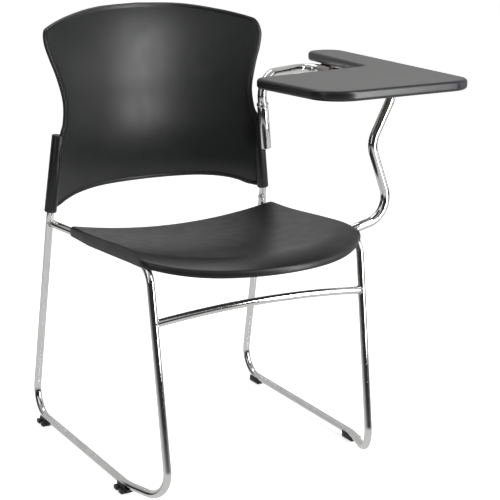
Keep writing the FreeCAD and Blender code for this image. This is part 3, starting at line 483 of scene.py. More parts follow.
def weldTree():
    # overlapping ripples set along each seam
    tree, source, target = newTree("weldTree", [
        ("Spacing", "NodeSocketFloat"), ("Bead", "NodeSocketFloat"), ("Finish", "NodeSocketMaterial")])
    seam = putNode(tree, "GeometryNodeMeshToCurve", {"Mesh": source.outputs["Geometry"]})
    even = putNode(tree, "GeometryNodeResampleCurve", {
        "Curve": seam.outputs[0], "Length": source.outputs["Spacing"]}, mode="LENGTH")
    ripple = putNode(tree, "GeometryNodeMeshUVSphere", {
        "Segments": 14, "Rings": 9, "Radius": source.outputs["Bead"]})
    along = putNode(tree, "GeometryNodeInputTangent", {})
    turn = putNode(tree, "FunctionNodeAlignRotationToVector", {"Vector": along.outputs[0]}, axis="Z")
    beads = putNode(tree, "GeometryNodeInstanceOnPoints", {
        "Points": even.outputs[0], "Instance": ripple.outputs["Mesh"],
        "Rotation": turn.outputs["Rotation"], "Scale": (1, 1, 0.8)})
    solid = putNode(tree, "GeometryNodeRealizeInstances", {"Geometry": beads.outputs[0]})
    finished = putNode(tree, "GeometryNodeSetMaterial", {
        "Geometry": solid.outputs[0], "Material": source.outputs["Finish"]})
    tree.links.new(finished.outputs[0], target.inputs[0])
    return tree


# loops and patches for the two moulded shells and the tablet

def smoothThrough(points, perSpan=12):
    # a Catmull-Rom line through flat points
    padded = [points[0] * 2 - points[1]] + list(points) + [points[-1] * 2 - points[-2]]
    line = []
    for a, b, c, d in zip(padded, padded[1:], padded[2:], padded[3:]):
        for i in range(perSpan):
            t = i / perSpan
            line.append(0.5 * ((2 * b) + (c - a) * t + (2 * a - 5 * b + 4 * c - d) * t * t
                               + (3 * b - a - 3 * c + d) * t ** 3))
    line.append(points[-1])
    return line


def resampled(line, count):
    # count equal steps along a line, ends kept
    lengths = [0]
    for a, b in zip(line, line[1:]):
        lengths.append(lengths[-1] + (b - a).length)
    result = []
    index = 0
    for i in range(count + 1):
        target = lengths[-1] * i / count
        while index < len(line) - 2 and lengths[index + 1] < target:
            index += 1
        span = lengths[index + 1] - lengths[index]
        share = 0 if span == 0 else (target - lengths[index]) / span
        result.append(line[index].lerp(line[index + 1], min(1, max(0, share))))
    return result


def filletedLoop(corners, radii, stepDegrees=6):
    # a closed flat outline; a corner of radius 0 is only a point on it
    points = []
    for i, radius in enumerate(radii):
        corner = corners[i]
        if radius == 0:
            points.append(corner.copy())
        else:
            following = corners[(i + 1) % len(corners)]
            points.extend(cornerArc(corners[i - 1], corner, following, radius, stepDegrees))
    return points


def splitLoop(loop, corners, counts):
    # the loop as one list of points, with the given step counts between its corners
    starts = [min(range(len(loop)), key=lambda k: (loop[k] - corner).length) for corner in corners]
    result = []
    for side, steps in enumerate(counts):
        first, last = starts[side], starts[(side + 1) % len(starts)]
        if last <= first:
            last += len(loop)
        line = [loop[k % len(loop)] for k in range(first, last + 1)]
        result.extend(resampled(line, steps)[:-1])
    return result


def outwardNormals(loop):
    count = len(loop)
    normals = []
    for i in range(count):
        run = loop[(i + 1) % count] - loop[i - 1]
        normals.append(Vector((run.y, -run.x)).normalized())
    return normals


def coonsGrid(loop, across, along):
    # fills a four-sided loop (across, along, across, along steps) with an even grid
    bottom = loop[:across + 1]
    right = loop[across:across + along + 1]
    top = list(reversed(loop[across + along:2 * across + along + 1]))
    left = list(reversed(loop[2 * across + along:] + [loop[0]]))
    grid = []
    for j in range(along + 1):
        v = j / along
        row = []
        for i in range(across + 1):
            u = i / across
            ruled = bottom[i] * (1 - v) + top[i] * v + left[j] * (1 - u) + right[j] * u
            corner = ((bottom[0] * (1 - u) + bottom[-1] * u) * (1 - v)
                      + (top[0] * (1 - u) + top[-1] * u) * v)
            row.append(ruled - corner)
        grid.append(row)
    return grid


def shellFromGrids(shell, topGrid, rings, underGrid):
    # top patch, rings of points around its edge, and the under patch, as one closed skin
    along, across = len(topGrid) - 1, len(topGrid[0]) - 1

    def addGrid(grid, flip):
        rows = [shell.add(row) for row in grid]
        for lower, upper in zip(rows, rows[1:]):
            for i in range(across):
                quad = (lower[i], lower[i + 1], upper[i + 1], upper[i])
                shell.faces.append(tuple(reversed(quad)) if flip else quad)
        return (rows[0] + [row[-1] for row in rows[1:]] + list(reversed(rows[-1][:-1]))
                + [row[0] for row in reversed(rows[1:-1])])

    edge = addGrid(topGrid, False)
    for ring in rings:
        following = shell.add(ring)
        shell.bridge(following, edge)
        edge = following
    shell.bridge(addGrid(underGrid, True), edge)


# sizes of the bent tube, which the shells are also set out from
tubeShape = {
    "frameRadius": 7.25, "crossRadius": 7, "armRadius": 9.5, "sides": 44,
    "runnerHalf": 246, "runnerHeight": 14.25, "rearReach": 456, "toeStart": 12,
    "legFootHalf": 212.5, "frontReach": -95, "legTopHalf": 217.5, "legTopReach": -38,
    "railHalf": 208, "railRear": 305, "railHeight": 416, "railRise": 15,
    "crossHeight": 332, "crossArch": 11.5, "braceReach": 235, "braceHeight": 396,
    "runnerFlare": 3, "frameBends": (90, 50, 110, 50, 34), "railBend": 60, "railDrop": 17,
    "braceInset": 34, "braceBend": 24, "braceBury": 1,
}
postShape = {
    "topHalf": 222.5, "footHalf": 240, "topReach": 350, "footReach": 358, "top": 590, "foot": 447,
}


def postPoint(height):
    share = (height - postShape["foot"]) / (postShape["top"] - postShape["foot"])
    return Vector((mix(postShape["footHalf"], postShape["topHalf"], share),
                   mix(postShape["footReach"], postShape["topReach"], share), height))


def railPoint(reach):
    shape = tubeShape
    share = (reach - shape["legTopReach"]) / (shape["railRear"] - shape["legTopReach"])
    return Vector((mix(shape["legTopHalf"], shape["railHalf"], share), reach,
                   shape["railHeight"] + shape["railRise"] * (1 - share)))


fixingShape = {
    "tabLength": 34, "tabThick": 3, "tabFront": 20, "tabRear": 270, "headHeight": 3,
    "seatHead": 5, "seatShank": 2.45, "backHeight": 495, "boltHeights": (555, 585),
    "boltHead": 5.1, "boltShank": 2.95, "boltHeadHeight": 4,
    "hingeReach": (165, 312), "hingeInset": 23, "hingeSpread": 8.5, "hingeHead": 4,
    "hingeShank": 1.95, "hingeHeadHeight": 2.2, "tabBury": 1, "seatShort": 4.5, "headGap": 0.2,
    "backBite": 0.5, "boltProud": 1.5, "hingePlate": 2, "hingeLength": 14, "hexShare": 0.48,
}


def tabPoint(side, reach):
    # the middle of a seat tab's top face
    rail = railPoint(reach)
    inward = tubeShape["frameRadius"] + fixingShape["tabLength"] / 2 - fixingShape["tabBury"]
    return Vector((side * (rail.x - inward), reach, rail.z + fixingShape["tabThick"] / 2))


tabPoints = [tabPoint(side, reach) for side in (1, -1)
             for reach in (fixingShape["tabFront"], fixingShape["tabRear"])]

# seat: one thin moulded shell, dished, with a rolled front and hanging sides
seatShape = {
    "half": 226.5, "front": -142, "frontSweep": 290, "wall": 5, "dish": 23,
    "rearHeight": 436, "frontHeight": 449, "foot": 415.5, "footRise": 14.5,
    "frontRoll": 62, "sideRoll": 7, "rearRoll": 7, "frontCorner": 40, "rearCorner": 10,
    "rearLip": 13, "rim": 6.5, "flankPower": 1.7, "across": 96, "along": 88,
    "footStart": 205, "footRun": 250, "bossRadius": 6.5, "bossBore": 2.6, "bossBury": 1.5,
    "bossSoft": 0.5,
}


def seatFrontLine(x):
    sweep = seatShape["frontSweep"]
    return seatShape["front"] + sweep - math.sqrt(sweep ** 2 - x ** 2)


def seatHeight(x, y):
    along = (seatReach - y) / (seatReach - seatShape["front"])
    edge = mix(seatShape["frontHeight"], seatShape["rearHeight"], ease(0, seatReach - 29, y))
    return edge - seatShape["dish"] * (1 - (x / seatShape["half"]) ** 2) * (1 - 0.8 * along ** 3)


def seatFoot(x, y):
    # lower edge of the hanging wall; behind the rails it lifts clear of them
    half = seatShape["half"]
    forward = max(0, (seatShape["footStart"] - y) / seatShape["footRun"])
    low = seatShape["foot"] + seatShape["footRise"] * forward * abs(x / half) ** 5
    lip = mix(seatShape["rearLip"], seatShape["wall"] + 2.5, ease(176, 192, abs(x)))
    return mix(low, seatHeight(x, min(y, seatReach)) - lip, ease(290, 298.5, y))


def seatLoop(side, front, rear, frontCorner, rearCorner):
    # plan outline inset by side, front and rear; counter-clockwise from above
    half = seatShape["half"] - side
    xs = [half * k / 14 for k in range(-14, 15)]
    corners = [Vector((x, seatFrontLine(x * (half + side) / half) + front)) for x in xs]
    # the points beside each front corner are left out, to make room for its arc
    corners = corners[:1] + corners[2:-2] + corners[-1:]
    radii = [frontCorner] + [0] * (len(corners) - 2) + [frontCorner]
    corners += [Vector((half, seatReach - rear)), Vector((-half, seatReach - rear))]
    radii += [rearCorner, rearCorner]
    loop = filletedLoop(corners, radii, 5)
    marks = [corners[0], corners[-3], corners[-2], corners[-1]]
    counts = [seatShape["across"], seatShape["along"]] * 2
    return splitLoop(loop, marks, counts)


def frontRoll(reach, drop):
    # a long falling flank and then a tight rim, as (outwards, fall) pairs
    rim, power = seatShape["rim"], seatShape["flankPower"]
    flank = reach - rim
    low, high = 0.0, drop
    for turn in range(24):
        fall = (low + high) / 2
        lean = math.atan(power * fall / flank)
        radius = rim / (1 - math.sin(lean))
        if fall + radius * math.cos(lean) > drop:
            high = fall
        else:
            low = fall
    pairs = [(flank * i / 6, fall * (i / 6) ** power) for i in range(1, 7)]
    for i in range(1, 7):
        angle = mix(lean, math.pi / 2, i / 6)
        pairs.append((flank + radius * (math.sin(angle) - math.sin(lean)),
                      fall + radius * (math.cos(lean) - math.cos(angle))))
    return pairs


def buildSeat():
    shape = seatShape
    outer = seatLoop(0, 0, 0, shape["frontCorner"], shape["rearCorner"])
    inner = seatLoop(shape["sideRoll"], shape["frontRoll"], shape["rearRoll"],
                     shape["frontCorner"] - 14, shape["rearCorner"] - 6)
    wall = shape["wall"]
    grid = coonsGrid(inner, shape["across"], shape["along"])
    topGrid = [[place(p.x, p.y, seatHeight(p.x, p.y)) for p in row] for row in grid]
    underGrid = [[place(p.x, p.y, seatHeight(p.x, p.y) - wall) for p in row] for row in grid]

    def profile(k):
        # (outwards, height) pairs from the top patch over the roll to the foot
        start, end = inner[k], outer[k]
        reach = (end - start).length
        direction = (end - start) / reach
        high = seatHeight(start.x, start.y)
        ahead = start + direction
        slope = seatHeight(ahead.x, ahead.y) - high
        foot = seatFoot(end.x, end.y)
        drop = min(high - foot - 3.0, mix(reach * 0.95, high - foot - 5, ease(20, 55, reach)))
        pairs = []
        # a short roll is a quarter round and a long one is the front's flank and rim
        longest = max(reach, 30)
        rolled = frontRoll(longest, drop)
        share = ease(30, 52, reach)
        for step in range(1, 13):
            angle = math.radians(7.5 * step)
            out = mix(reach * math.sin(angle), rolled[step - 1][0] * reach / longest, share)
            fall = mix(drop * (1 - math.cos(angle)), rolled[step - 1][1], share)
            pairs.append((out, high + slope * out * (1 - out / reach) - fall))
        base = pairs[-1][1]
        for share in (0.34, 0.68, 1):
            pairs.append((reach, mix(base, foot + 2.4, share)))
        return start, direction, pairs

    outside = []
    inside = []
    for k in range(len(outer)):
        start, direction, pairs = profile(k)
        chain = [(0, seatHeight(start.x, start.y))] + pairs
        inset = []
        for i, (out, height) in enumerate(chain):
            before, after = chain[max(i - 1, 0)], chain[min(i + 1, len(chain) - 1)]
            run, fall = after[0] - before[0], after[1] - before[1]
            size = math.hypot(run, fall) or 1
            inset.append((out + wall * fall / size, height - wall * run / size))
        foot = chain[-1][1]
        rounding = [(chain[-1][0] - wall / 2 + wall / 2 * math.cos(a), foot - wall / 2 * math.sin(a))
                    for a in (math.radians(d) for d in (30, 60, 90, 120, 150))]
        path = pairs + rounding + list(reversed(inset))[:-1]
        points = [place(start.x + direction.x * out, start.y + direction.y * out, height)
                  for out, height in path]
        outside.append(points)
    rings = [[points[i] for points in outside] for i in range(len(outside[0]))]
    shell = Shell()
    shellFromGrids(shell, topGrid, rings, underGrid)
    wide, bore = shape["bossRadius"] / 1000, shape["bossBore"] / 1000
    soft = shape["bossSoft"] / 1000
    for point in tabPoints:
        # a hollow boss that each seat screw bites into
        rise = (seatHeight(point.x, point.y) - wall + shape["bossBury"] - point.z) / 1000
        boss = [(bore, 0), (wide - soft, 0), (wide, soft), (wide, rise), (bore, rise)]
        shell.loft(turnedRings(place(*point), Vector((0, 0, 1)), boss, 32), capped=False)
    return makePiece("seatShell", shell.verts, shell.faces, plasticBlack, "chair",
                     ["seat_shell"])


buildSeat()
print("seat made")

# back: a curved shell with a raised bead round its edge and a sleeve at each side
backShape = {
    "wall": 5, "lumbarReach": 396.5, "lumbarHeight": 622, "lumbarSweep": 376, "top": 838.5,
    "arch": 481, "ear": 236, "waist": 207, "sweep": 438, "beadWidth": 7.5, "beadHeight": 2,
    "sleeveRadius": 12, "sleeveBore": 7.6, "sleeveFoot": 452, "sleeveTop": 603,
    "across": 108, "along": 96,
}


def backFace(x, z, out=0):
    # a point of the back's front face, moved out towards its rear
    rise = z - backShape["lumbarHeight"]
    reach = backShape["lumbarReach"] + rise ** 2 / (2 * backShape["lumbarSweep"])
    depth = math.sqrt(backShape["sweep"] ** 2 - x ** 2)
    normal = Vector((x / depth, 1, -rise / backShape["lumbarSweep"])).normalized()
    point = Vector((x, reach - backShape["sweep"] + depth, z)) + normal * out
    return place(*point)


def backLoop():
    # outline seen from the front, counter-clockwise in x and z
    shape = backShape
    ear, top, waist = shape["ear"], shape["top"], shape["waist"]
    shoulder, foot = postPoint(shape["sleeveTop"]), postPoint(shape["sleeveFoot"])
    arch = [(foot.x - 6, foot.z), (211, shape["arch"] - 23), (195, shape["arch"] - 15.5),
            (170, shape["arch"] - 8), (134, shape["arch"] - 2.5), (90, shape["arch"]),
            (0, shape["arch"] + 0.5)]
    side = [(foot.x, foot.z), (mix(foot.x, shoulder.x, 0.5), mix(foot.z, shoulder.z, 0.5)),
            (shoulder.x, shoulder.z - 14), (waist + 10, shape["sleeveTop"] + 6),
            (waist + 4, shape["sleeveTop"] + 20),
            (waist, top - 186), (waist + 2, top - 160), (waist + 12, top - 120),
            (ear - 7, top - 91), (ear, top - 62), (0.985 * ear, top - 40), (0.93 * ear, top - 31)]
    crown = [(0.93 * ear, top - 31), (0.72 * ear, top - 17), (0.4 * ear, top - 4), (0, top)]
    half = [Vector(p) for p in side] + [Vector(p) for p in crown[1:]]
    rightLine = smoothThrough(half, 16)
    archLine = smoothThrough([Vector(p) for p in arch], 16)
    flip = [Vector((-p.x, p.y)) for p in rightLine]
    archFlip = [Vector((-p.x, p.y)) for p in archLine]
    loop = archFlip[:-1] + list(reversed(archLine)) + rightLine[1:] + list(reversed(flip))[1:-1]
    marks = [archFlip[0], archLine[0], Vector((0.955 * ear, top - 34)), Vector((-0.955 * ear, top - 34))]
    return splitLoop(loop, marks, [shape["across"], shape["along"]] * 2)


def buildBack():
    shape = backShape
    loop = backLoop()
    normals = outwardNormals(loop)
    for turn in range(3):
        normals = [(normals[i - 1] + normals[i] * 2 + normals[(i + 1) % len(normals)]).normalized()
                   for i in range(len(normals))]
    wall, bead, width = shape["wall"], shape["beadHeight"], shape["beadWidth"]
    inset = width + 2.5
    # (distance in from the outline, distance back from the front face)
    section = [(inset - 1.2, 0.0), (width, -0.25 * bead), (width - 1.5, -0.72 * bead),
               (width - 3, -0.95 * bead), (width - 5, -bead), (3.6, -0.9 * bead), (2.2, -0.66 * bead),
               (1.1, -0.28 * bead), (0.35, 0.35), (0, 1.5), (0, wall - 1.4), (0.4, wall - 0.5),
               (1.3, wall + 0.15), (2.8, wall + 0.55), (5, wall + 0.6), (width - 3, wall + 0.5),
               (width - 1, wall + 0.2), (width + 1, wall)]

    def ring(depth, out):
        return [backFace(p.x - n.x * depth, p.y - n.y * depth, out) for p, n in zip(loop, normals)]

    innerLoop = [p - n * inset for p, n in zip(loop, normals)]
    grid = coonsGrid(innerLoop, shape["across"], shape["along"])
    topGrid = [[backFace(p.x, p.y) for p in row] for row in grid]
    underGrid = [[backFace(p.x, p.y, wall) for p in row] for row in grid]
    shell = Shell()
    shellFromGrids(shell, topGrid, [ring(*pair) for pair in section], underGrid)
    for side in (1, -1):
        addSleeve(shell, side)
    return makePiece("backShell", shell.verts, shell.faces, plasticBlack, "chair",
                     ["back_shell"])


def addSleeve(shell, side):
    # closed at its top, open below for the post, with softened rims
    radius, bore = backShape["sleeveRadius"] / 1000, backShape["sleeveBore"] / 1000
    low, high = postPoint(backShape["sleeveFoot"]), postPoint(backShape["sleeveTop"])
    start, end = place(low.x * side, low.y, low.z), place(high.x * side, high.y, high.z)
    axis = (end - start).normalized()
    length = (end - start).length
    soft = 0.0016
    profile = [(bore, length - 0.012), (bore, 0.0008), (bore + 0.0008, 0), (radius - soft, 0),
               (radius - soft * 0.3, soft * 0.3), (radius, soft), (radius, length - soft),
               (radius - soft * 0.3, length - soft * 0.3), (radius - soft, length),
               (radius * 0.4, length + 0.0002)]
    shell.loft(turnedRings(start, axis, profile))


buildBack()
print("back made")

# chromed tube: two sled frames, the crossbar, the rear brace and the tablet's arm

def mirrored(points, side):
    return [Vector((p.x * side, p.y, p.z)) for p in points]


def frameRoutes():
    shape = tubeShape
    low = shape["runnerHeight"]
    postTop, postFoot = postPoint(postShape["top"]), postPoint(postShape["foot"])
    rearCorner = Vector((shape["runnerHalf"] + shape["runnerFlare"], shape["rearReach"], low))
    frontCorner = Vector((shape["runnerHalf"], shape["toeStart"], low))
    railFront = Vector((shape["legTopHalf"], shape["legTopReach"],
                        shape["railHeight"] + shape["railRise"]))
    railRear = Vector((shape["railHalf"], shape["railRear"], shape["railHeight"]))
    legFoot = Vector((shape["legFootHalf"], shape["frontReach"], low))
    middle = (railFront + railRear) / 2
    loop = roundedRoute([postTop, postFoot, rearCorner, frontCorner, legFoot, railFront, middle],
                        shape["frameBends"])
    legLine = (postFoot - rearCorner).normalized()
    join = postFoot - legLine * shape["railDrop"]
    rail = roundedRoute([middle, railRear, join], [shape["railBend"]])
    return loop, rail, legFoot, railFront, railRear, join, legLine


def makeTube(name, routes, radius, node, edge=0.4):
    shell = Shell()
    for route in routes:
        tubeInto(shell, route, radius, tubeShape["sides"], edge)
    return makePiece(name, shell.verts, shell.faces, tubeChrome, "chair", [node])


loopRoute, railRoute, legFoot, railFront, railRear, railJoin, legLine = frameRoutes()
for side, tag in ((1, "Left"), (-1, "Right")):
    makeTube("sideFrame" + tag, [mirrored(loopRoute, side), mirrored(railRoute, side)],
             tubeShape["frameRadius"], "side_frame_" + tag.lower())

legShare = (tubeShape["crossHeight"] - legFoot.z) / (railFront.z - legFoot.z)
crossEnd = legFoot.lerp(railFront, legShare)
archRise = tubeShape["crossArch"]
archRadius = (crossEnd.x ** 2 + archRise ** 2) / (2 * archRise)
crossSweep = math.asin(crossEnd.x / archRadius)
crossRoute = [Vector((archRadius * math.sin(a), crossEnd.y,
                      crossEnd.z + archRise - archRadius * (1 - math.cos(a))))
              for a in (crossSweep * k / 24 for k in range(-24, 25))]
makeTube("frontCrossbar", [crossRoute], tubeShape["crossRadius"], "front_crossbar")

braceShare = (tubeShape["braceReach"] - railFront.y) / (railRear.y - railFront.y)
braceEnd = railFront.lerp(railRear, braceShare) + Vector((tubeShape["braceBury"], 0, 0))
braceKnee = Vector((tubeShape["railHalf"] - tubeShape["braceInset"], tubeShape["braceReach"],
                    tubeShape["braceHeight"]))
braceRoute = roundedRoute(mirrored([braceEnd, braceKnee], -1) + [braceKnee, braceEnd],
                          [tubeShape["braceBend"]] * 2)
makeTube("rearBrace", [braceRoute], tubeShape["crossRadius"], "rear_brace")


def saddleSeam(centre, tube, tubeRadius, outward, barRadius, steps=72):
    # the line where a bar meets a tube: points about the bar, each moved out to the tube's skin
    outward = outward.normalized()
    tube = tube.normalized()
    across = outward.cross(tube).normalized()
    over = outward.cross(across)
    flatOut = outward - tube * outward.dot(tube)
    points = []
    for k in range(steps):
        angle = 2 * math.pi * k / steps
        spoke = (across * math.cos(angle) + over * math.sin(angle)) * barRadius
        flatSpoke = spoke - tube * spoke.dot(tube)
        half = flatSpoke.dot(flatOut)
        inside = max(0, half ** 2 - flatOut.length_squared * (flatSpoke.length_squared - tubeRadius ** 2))
        points.append(centre + spoke + outward * ((math.sqrt(inside) - half) / flatOut.length_squared))
    return points


weldShape = {"spacing": 1.15, "bead": 1.3, "proud": 0.25}


def addWelds(name, seams):
    verts, edges = [], []
    for seam in seams:
        for points in (seam, mirrored(seam, -1)):
            first = len(verts)
            verts.extend(place(*p) for p in points)
            edges.extend((first + k, first + (k + 1) % len(points)) for k in range(len(points)))
    return runTree(name, weldRipples, verts, edges, {}, {
        "Spacing": weldShape["spacing"] / 1000, "Bead": weldShape["bead"] / 1000,
        "Finish": weldChrome}, "chair")


weldRipples = weldTree()
frameSkin = tubeShape["frameRadius"] + weldShape["proud"]
crossSkin = tubeShape["crossRadius"] + weldShape["proud"]
addWelds("crossbarWelds", [saddleSeam(crossEnd, railFront - legFoot, frameSkin,
                                      crossRoute[-2] - crossRoute[-1], crossSkin)])
addWelds("braceWelds", [saddleSeam(braceEnd, railRear - railFront, frameSkin,
                                   braceKnee - braceEnd, crossSkin)])
addWelds("railWelds", [saddleSeam(railJoin, legLine, frameSkin, railRear - railJoin, frameSkin)])
print("welds made")

# arm: one bent tube from the socket, under the tablet and in to the left rail
armShape = {
    "hingeHalf": 372, "hingeHeight": 692.8, "rearReach": 392, "frontReach": 70, "rise": 694,
    "kneeHalf": 313.6, "kneeHeight": 582, "bulgeHalf": 367, "bulgeHeight": 437,
    "footHalf": 188, "footHeight": 396, "socketFoot": 540, "socketTop": 637,
    "socketRadius": 11.5, "socketGap": 2.5, "tubeBury": 6, "bends": (44, 34, 40, 50, 50),
    "endRound": 1.2,
}
postAxis = (postPoint(postShape["top"]) - postPoint(postShape["foot"])).normalized()
socketAhead = backShape["sleeveRadius"] + armShape["socketGap"] + armShape["socketRadius"]
socketShift = Vector((0, -socketAhead, 0))


def socketPoint(height):
    return postPoint(height) + socketShift


socketTop = socketPoint(armShape["socketTop"])
armRoute = roundedRoute(
    [socketPoint(armShape["socketFoot"] + armShape["tubeBury"]),
     socketTop + postAxis * ((armShape["rise"] - socketTop.z) / postAxis.z),
     Vector((armShape["hingeHalf"], armShape["rearReach"], armShape["hingeHeight"])),
     Vector((armShape["hingeHalf"], armShape["frontReach"], armShape["hingeHeight"])),
     Vector((armShape["kneeHalf"], armShape["frontReach"], armShape["kneeHeight"])),
     Vector((armShape["bulgeHalf"], armShape["frontReach"], armShape["bulgeHeight"])),
     Vector((armShape["footHalf"], armShape["frontReach"], armShape["footHeight"]))],
    armShape["bends"], 3)
makeTube("armTube", [armRoute], tubeShape["armRadius"], "arm_tube", armShape["endRound"])


def buildSocket():
    # a plated sleeve with a swaged collar at its mouth and a rounded foot
    start = place(*socketPoint(armShape["socketFoot"]))
    length = (socketPoint(armShape["socketTop"]) - socketPoint(armShape["socketFoot"])).length / 1000
    wide = armShape["socketRadius"] / 1000
    bore = tubeShape["armRadius"] / 1000 + 0.0001
    profile = [(bore, 0), (wide - 0.0022, 0), (wide - 0.0007, 0.0006), (wide, 0.0022),
               (wide, length - 0.0105), (wide - 0.0003, length - 0.0098), (wide - 0.0009, length - 0.0094),
               (wide - 0.0009, length - 0.0082), (wide + 0.0001, length - 0.0074),
               (wide + 0.0008, length - 0.0062), (wide + 0.0009, length - 0.0035),
               (wide + 0.0003, length - 0.0014), (wide - 0.0008, length - 0.0003), (bore, length)]
    shell = Shell()
    shell.loft(turnedRings(start, postAxis, profile), capped=False)
    return makePiece("armSocket", shell.verts, shell.faces, tubeChrome, "chair",
                     ["arm_socket"])


buildSocket()
print("tubes made")

# tablet: laminate let into a moulded edge with soft upper and lower curves
tabletShape = {
    "top": 725, "thick": 19, "edge": 8, "soft": 6.5, "laminate": 1,
    "corners": [(57, 86), (76, -149), (404, -135), (450, 410), (370, 410), (340, 134)],
    "radii": [26, 62, 56, 38, 34, 16], "steps": 420,
}


def tabletLoop():
    corners = [Vector(p) for p in tabletShape["corners"]]
    loop = filletedLoop(corners, tabletShape["radii"], 3)
    return resampled(loop + [loop[0]], tabletShape["steps"])[:-1]


def buildTablet():
    shape = tabletShape
    loop = tabletLoop()
    normals = outwardNormals(loop)
    top, under = shape["top"], shape["top"] - shape["thick"]
    soft, edge = shape["soft"], shape["edge"]

    def ring(depth, height):
        return [place(p.x - n.x * depth, p.y - n.y * depth, height) for p, n in zip(loop, normals)]

    curve = [math.radians(9 * k) for k in range(11)]
    upper = [ring(soft * (1 - math.sin(a)), top - soft * (1 - math.cos(a))) for a in curve]
    lower = [ring(soft * (1 - math.cos(a)), under + soft * (1 - math.sin(a))) for a in curve]
    rings = [ring(edge, top - 0.5), ring(edge - 0.35, top)] + upper + lower
    rings += [ring(edge - 0.35, under), ring(edge, under + 0.5)]
    shell = Shell()
    indexed = [shell.add(points) for points in rings]
    for before, after in zip(indexed, indexed[1:] + indexed[:1]):
        shell.bridge(after, before)
    makePiece("tabletEdge", shell.verts, shell.faces, edgeBlack, "tablet",
              ["tablet_edge"])

    def slab(name, low, high, easeTop, material, node):
        body = Shell()
        layers = [ring(edge + 0.05, low), ring(edge + 0.05, high - easeTop),
                  ring(edge + 0.05 + easeTop, high)]
        placed = [body.add(points) for points in layers]
        for before, after in zip(placed, placed[1:]):
            body.bridge(before, after)
        body.cap(placed[0], flip=True)
        body.cap(placed[-1])
        return makePiece(name, body.verts, body.faces, material, "tablet", [node], smooth=False)

    slab("tabletTop", top - shape["laminate"], top, 0.3, laminateGrey, "tablet_laminate")
    slab("tabletBoard", under, top - shape["laminate"], 0.01, boardBrown, "tablet_board")


buildTablet()
print("tablet made")

# glides: a soft edged block round the runner with two ears on its outer side
glideShape = {
    "length": 34, "width": 17, "height": 14, "round": 2.5, "ear": 7, "earHeight": 8, "notch": 7,
    "front": 22, "rear": 398, "endRound": 1.2, "fit": 0.1, "earRoot": 4, "earRound": 1.4,
    "mouthRound": 0.3,
}


def softOutline(low, high, radius, inset, steps=5):
    # a rounded rectangle in plan, counter-clockwise
    radius = max(0.2, radius - inset)
    points = []
    for cornerX, cornerY, start in ((high[0], low[1], -90), (high[0], high[1], 0),
                                    (low[0], high[1], 90), (low[0], low[1], 180)):
        centreX = cornerX - (radius + inset) * (1 if cornerX == high[0] else -1)
        centreY = cornerY - (radius + inset) * (1 if cornerY == high[1] else -1)
        for k in range(steps + 1):
            angle = math.radians(start + 90 * k / steps)
            points.append((centreX + radius * math.cos(angle), centreY + radius * math.sin(angle)))
    return points


def softBlock(shell, low, high, radius):
    # a box with rounded corners and rims
    curve = [(radius * (1 - math.cos(a)), radius * (1 - math.sin(a)))
             for a in (math.radians(d) for d in (0, 22, 45, 67))]
    heights = [(radius, low[2])] + [(inset, low[2] + lift) for inset, lift in reversed(curve)]
    heights += [(inset, high[2] - lift) for inset, lift in curve] + [(radius, high[2])]
    shell.loft([[place(x, y, z) for x, y in softOutline(low, high, radius + 0.3, inset)]
                for inset, z in heights])


def buildGlide(end, word, side, reach):
    shape = glideShape
    flare = (reach - tubeShape["toeStart"]) / (tubeShape["rearReach"] - tubeShape["toeStart"])
    middle = side * (tubeShape["runnerHalf"] + tubeShape["runnerFlare"] * flare)
    half, top, mouth = shape["width"] / 2, shape["height"], shape["mouthRound"]
    bore = tubeShape["frameRadius"] + shape["fit"]
    low = tubeShape["runnerHeight"]
    lean = math.asin((low - top) / bore)
    section = [(half - shape["round"] + shape["round"] * math.sin(a), shape["round"] * (1 - math.cos(a)))
               for a in (math.radians(15 * k) for k in range(7))]
    section += [(half, top - mouth), (half - mouth, top)]
    outside = len(section)
    channel = [(bore * math.cos(a), low + bore * math.sin(a))
               for a in (-lean - (math.pi - 2 * lean) * k / 20 for k in range(21))]
    section += channel
    section += [(-x, z) for x, z in reversed(section[:outside])]
    ends = [(0, shape["endRound"]), (0.35, 0.35), (shape["endRound"], 0)]
    shell = Shell()
    rings = []
    halfLength = shape["length"] / 2
    for along, inset in ends + [(shape["length"] - a, i) for a, i in reversed(ends)]:
        rings.append([place(middle + x * (1 - inset / half * 0.5), reach + halfLength - along,
                            z + inset * 0.5 * (1 - z / low)) for x, z in section])
    shell.loft(rings)
    ear = (shape["length"] - shape["notch"]) / 2
    for start in (reach - halfLength, reach + halfLength - ear):
        inner = middle + side * (half - shape["earRoot"])
        outer = middle + side * (half + shape["ear"])
        softBlock(shell, (min(inner, outer), start, 0),
                  (max(inner, outer), start + ear, shape["earHeight"]), shape["earRound"])
    return makePiece("glide" + end + word, shell.verts, shell.faces, glideBlack, "chair",
                     ["glide_" + end.lower() + "_" + word.lower()])


for side, word in ((1, "Left"), (-1, "Right")):
    buildGlide("Front", word, side, glideShape["front"])
    buildGlide("Rear", word, side, glideShape["rear"])
print("glides made")

# screws and bolts
fastenerForm = fastenerTree()


def addFasteners(name, spots, headRadius, headHeight, shankRadius, body, node, dome=1.1):
    # spots: seat of the head, its outward axis and the shank's length, in millimetres
    return runTree(name, fastenerForm, [place(*spot) for spot, axis, length in spots], [], {
        "axis": ("FLOAT_VECTOR", [axis for spot, axis, length in spots]),
        "shank": ("FLOAT", [length / 1000 for spot, axis, length in spots])}, {
        "Head Radius": headRadius / 1000, "Head Height": headHeight / 1000,
        "Shank Radius": shankRadius / 1000,
        "Socket Radius": headRadius * fixingShape["hexShare"] / 1000,
        "Dome": dome / 1000, "Finish": fastenerSteel}, body, [node])


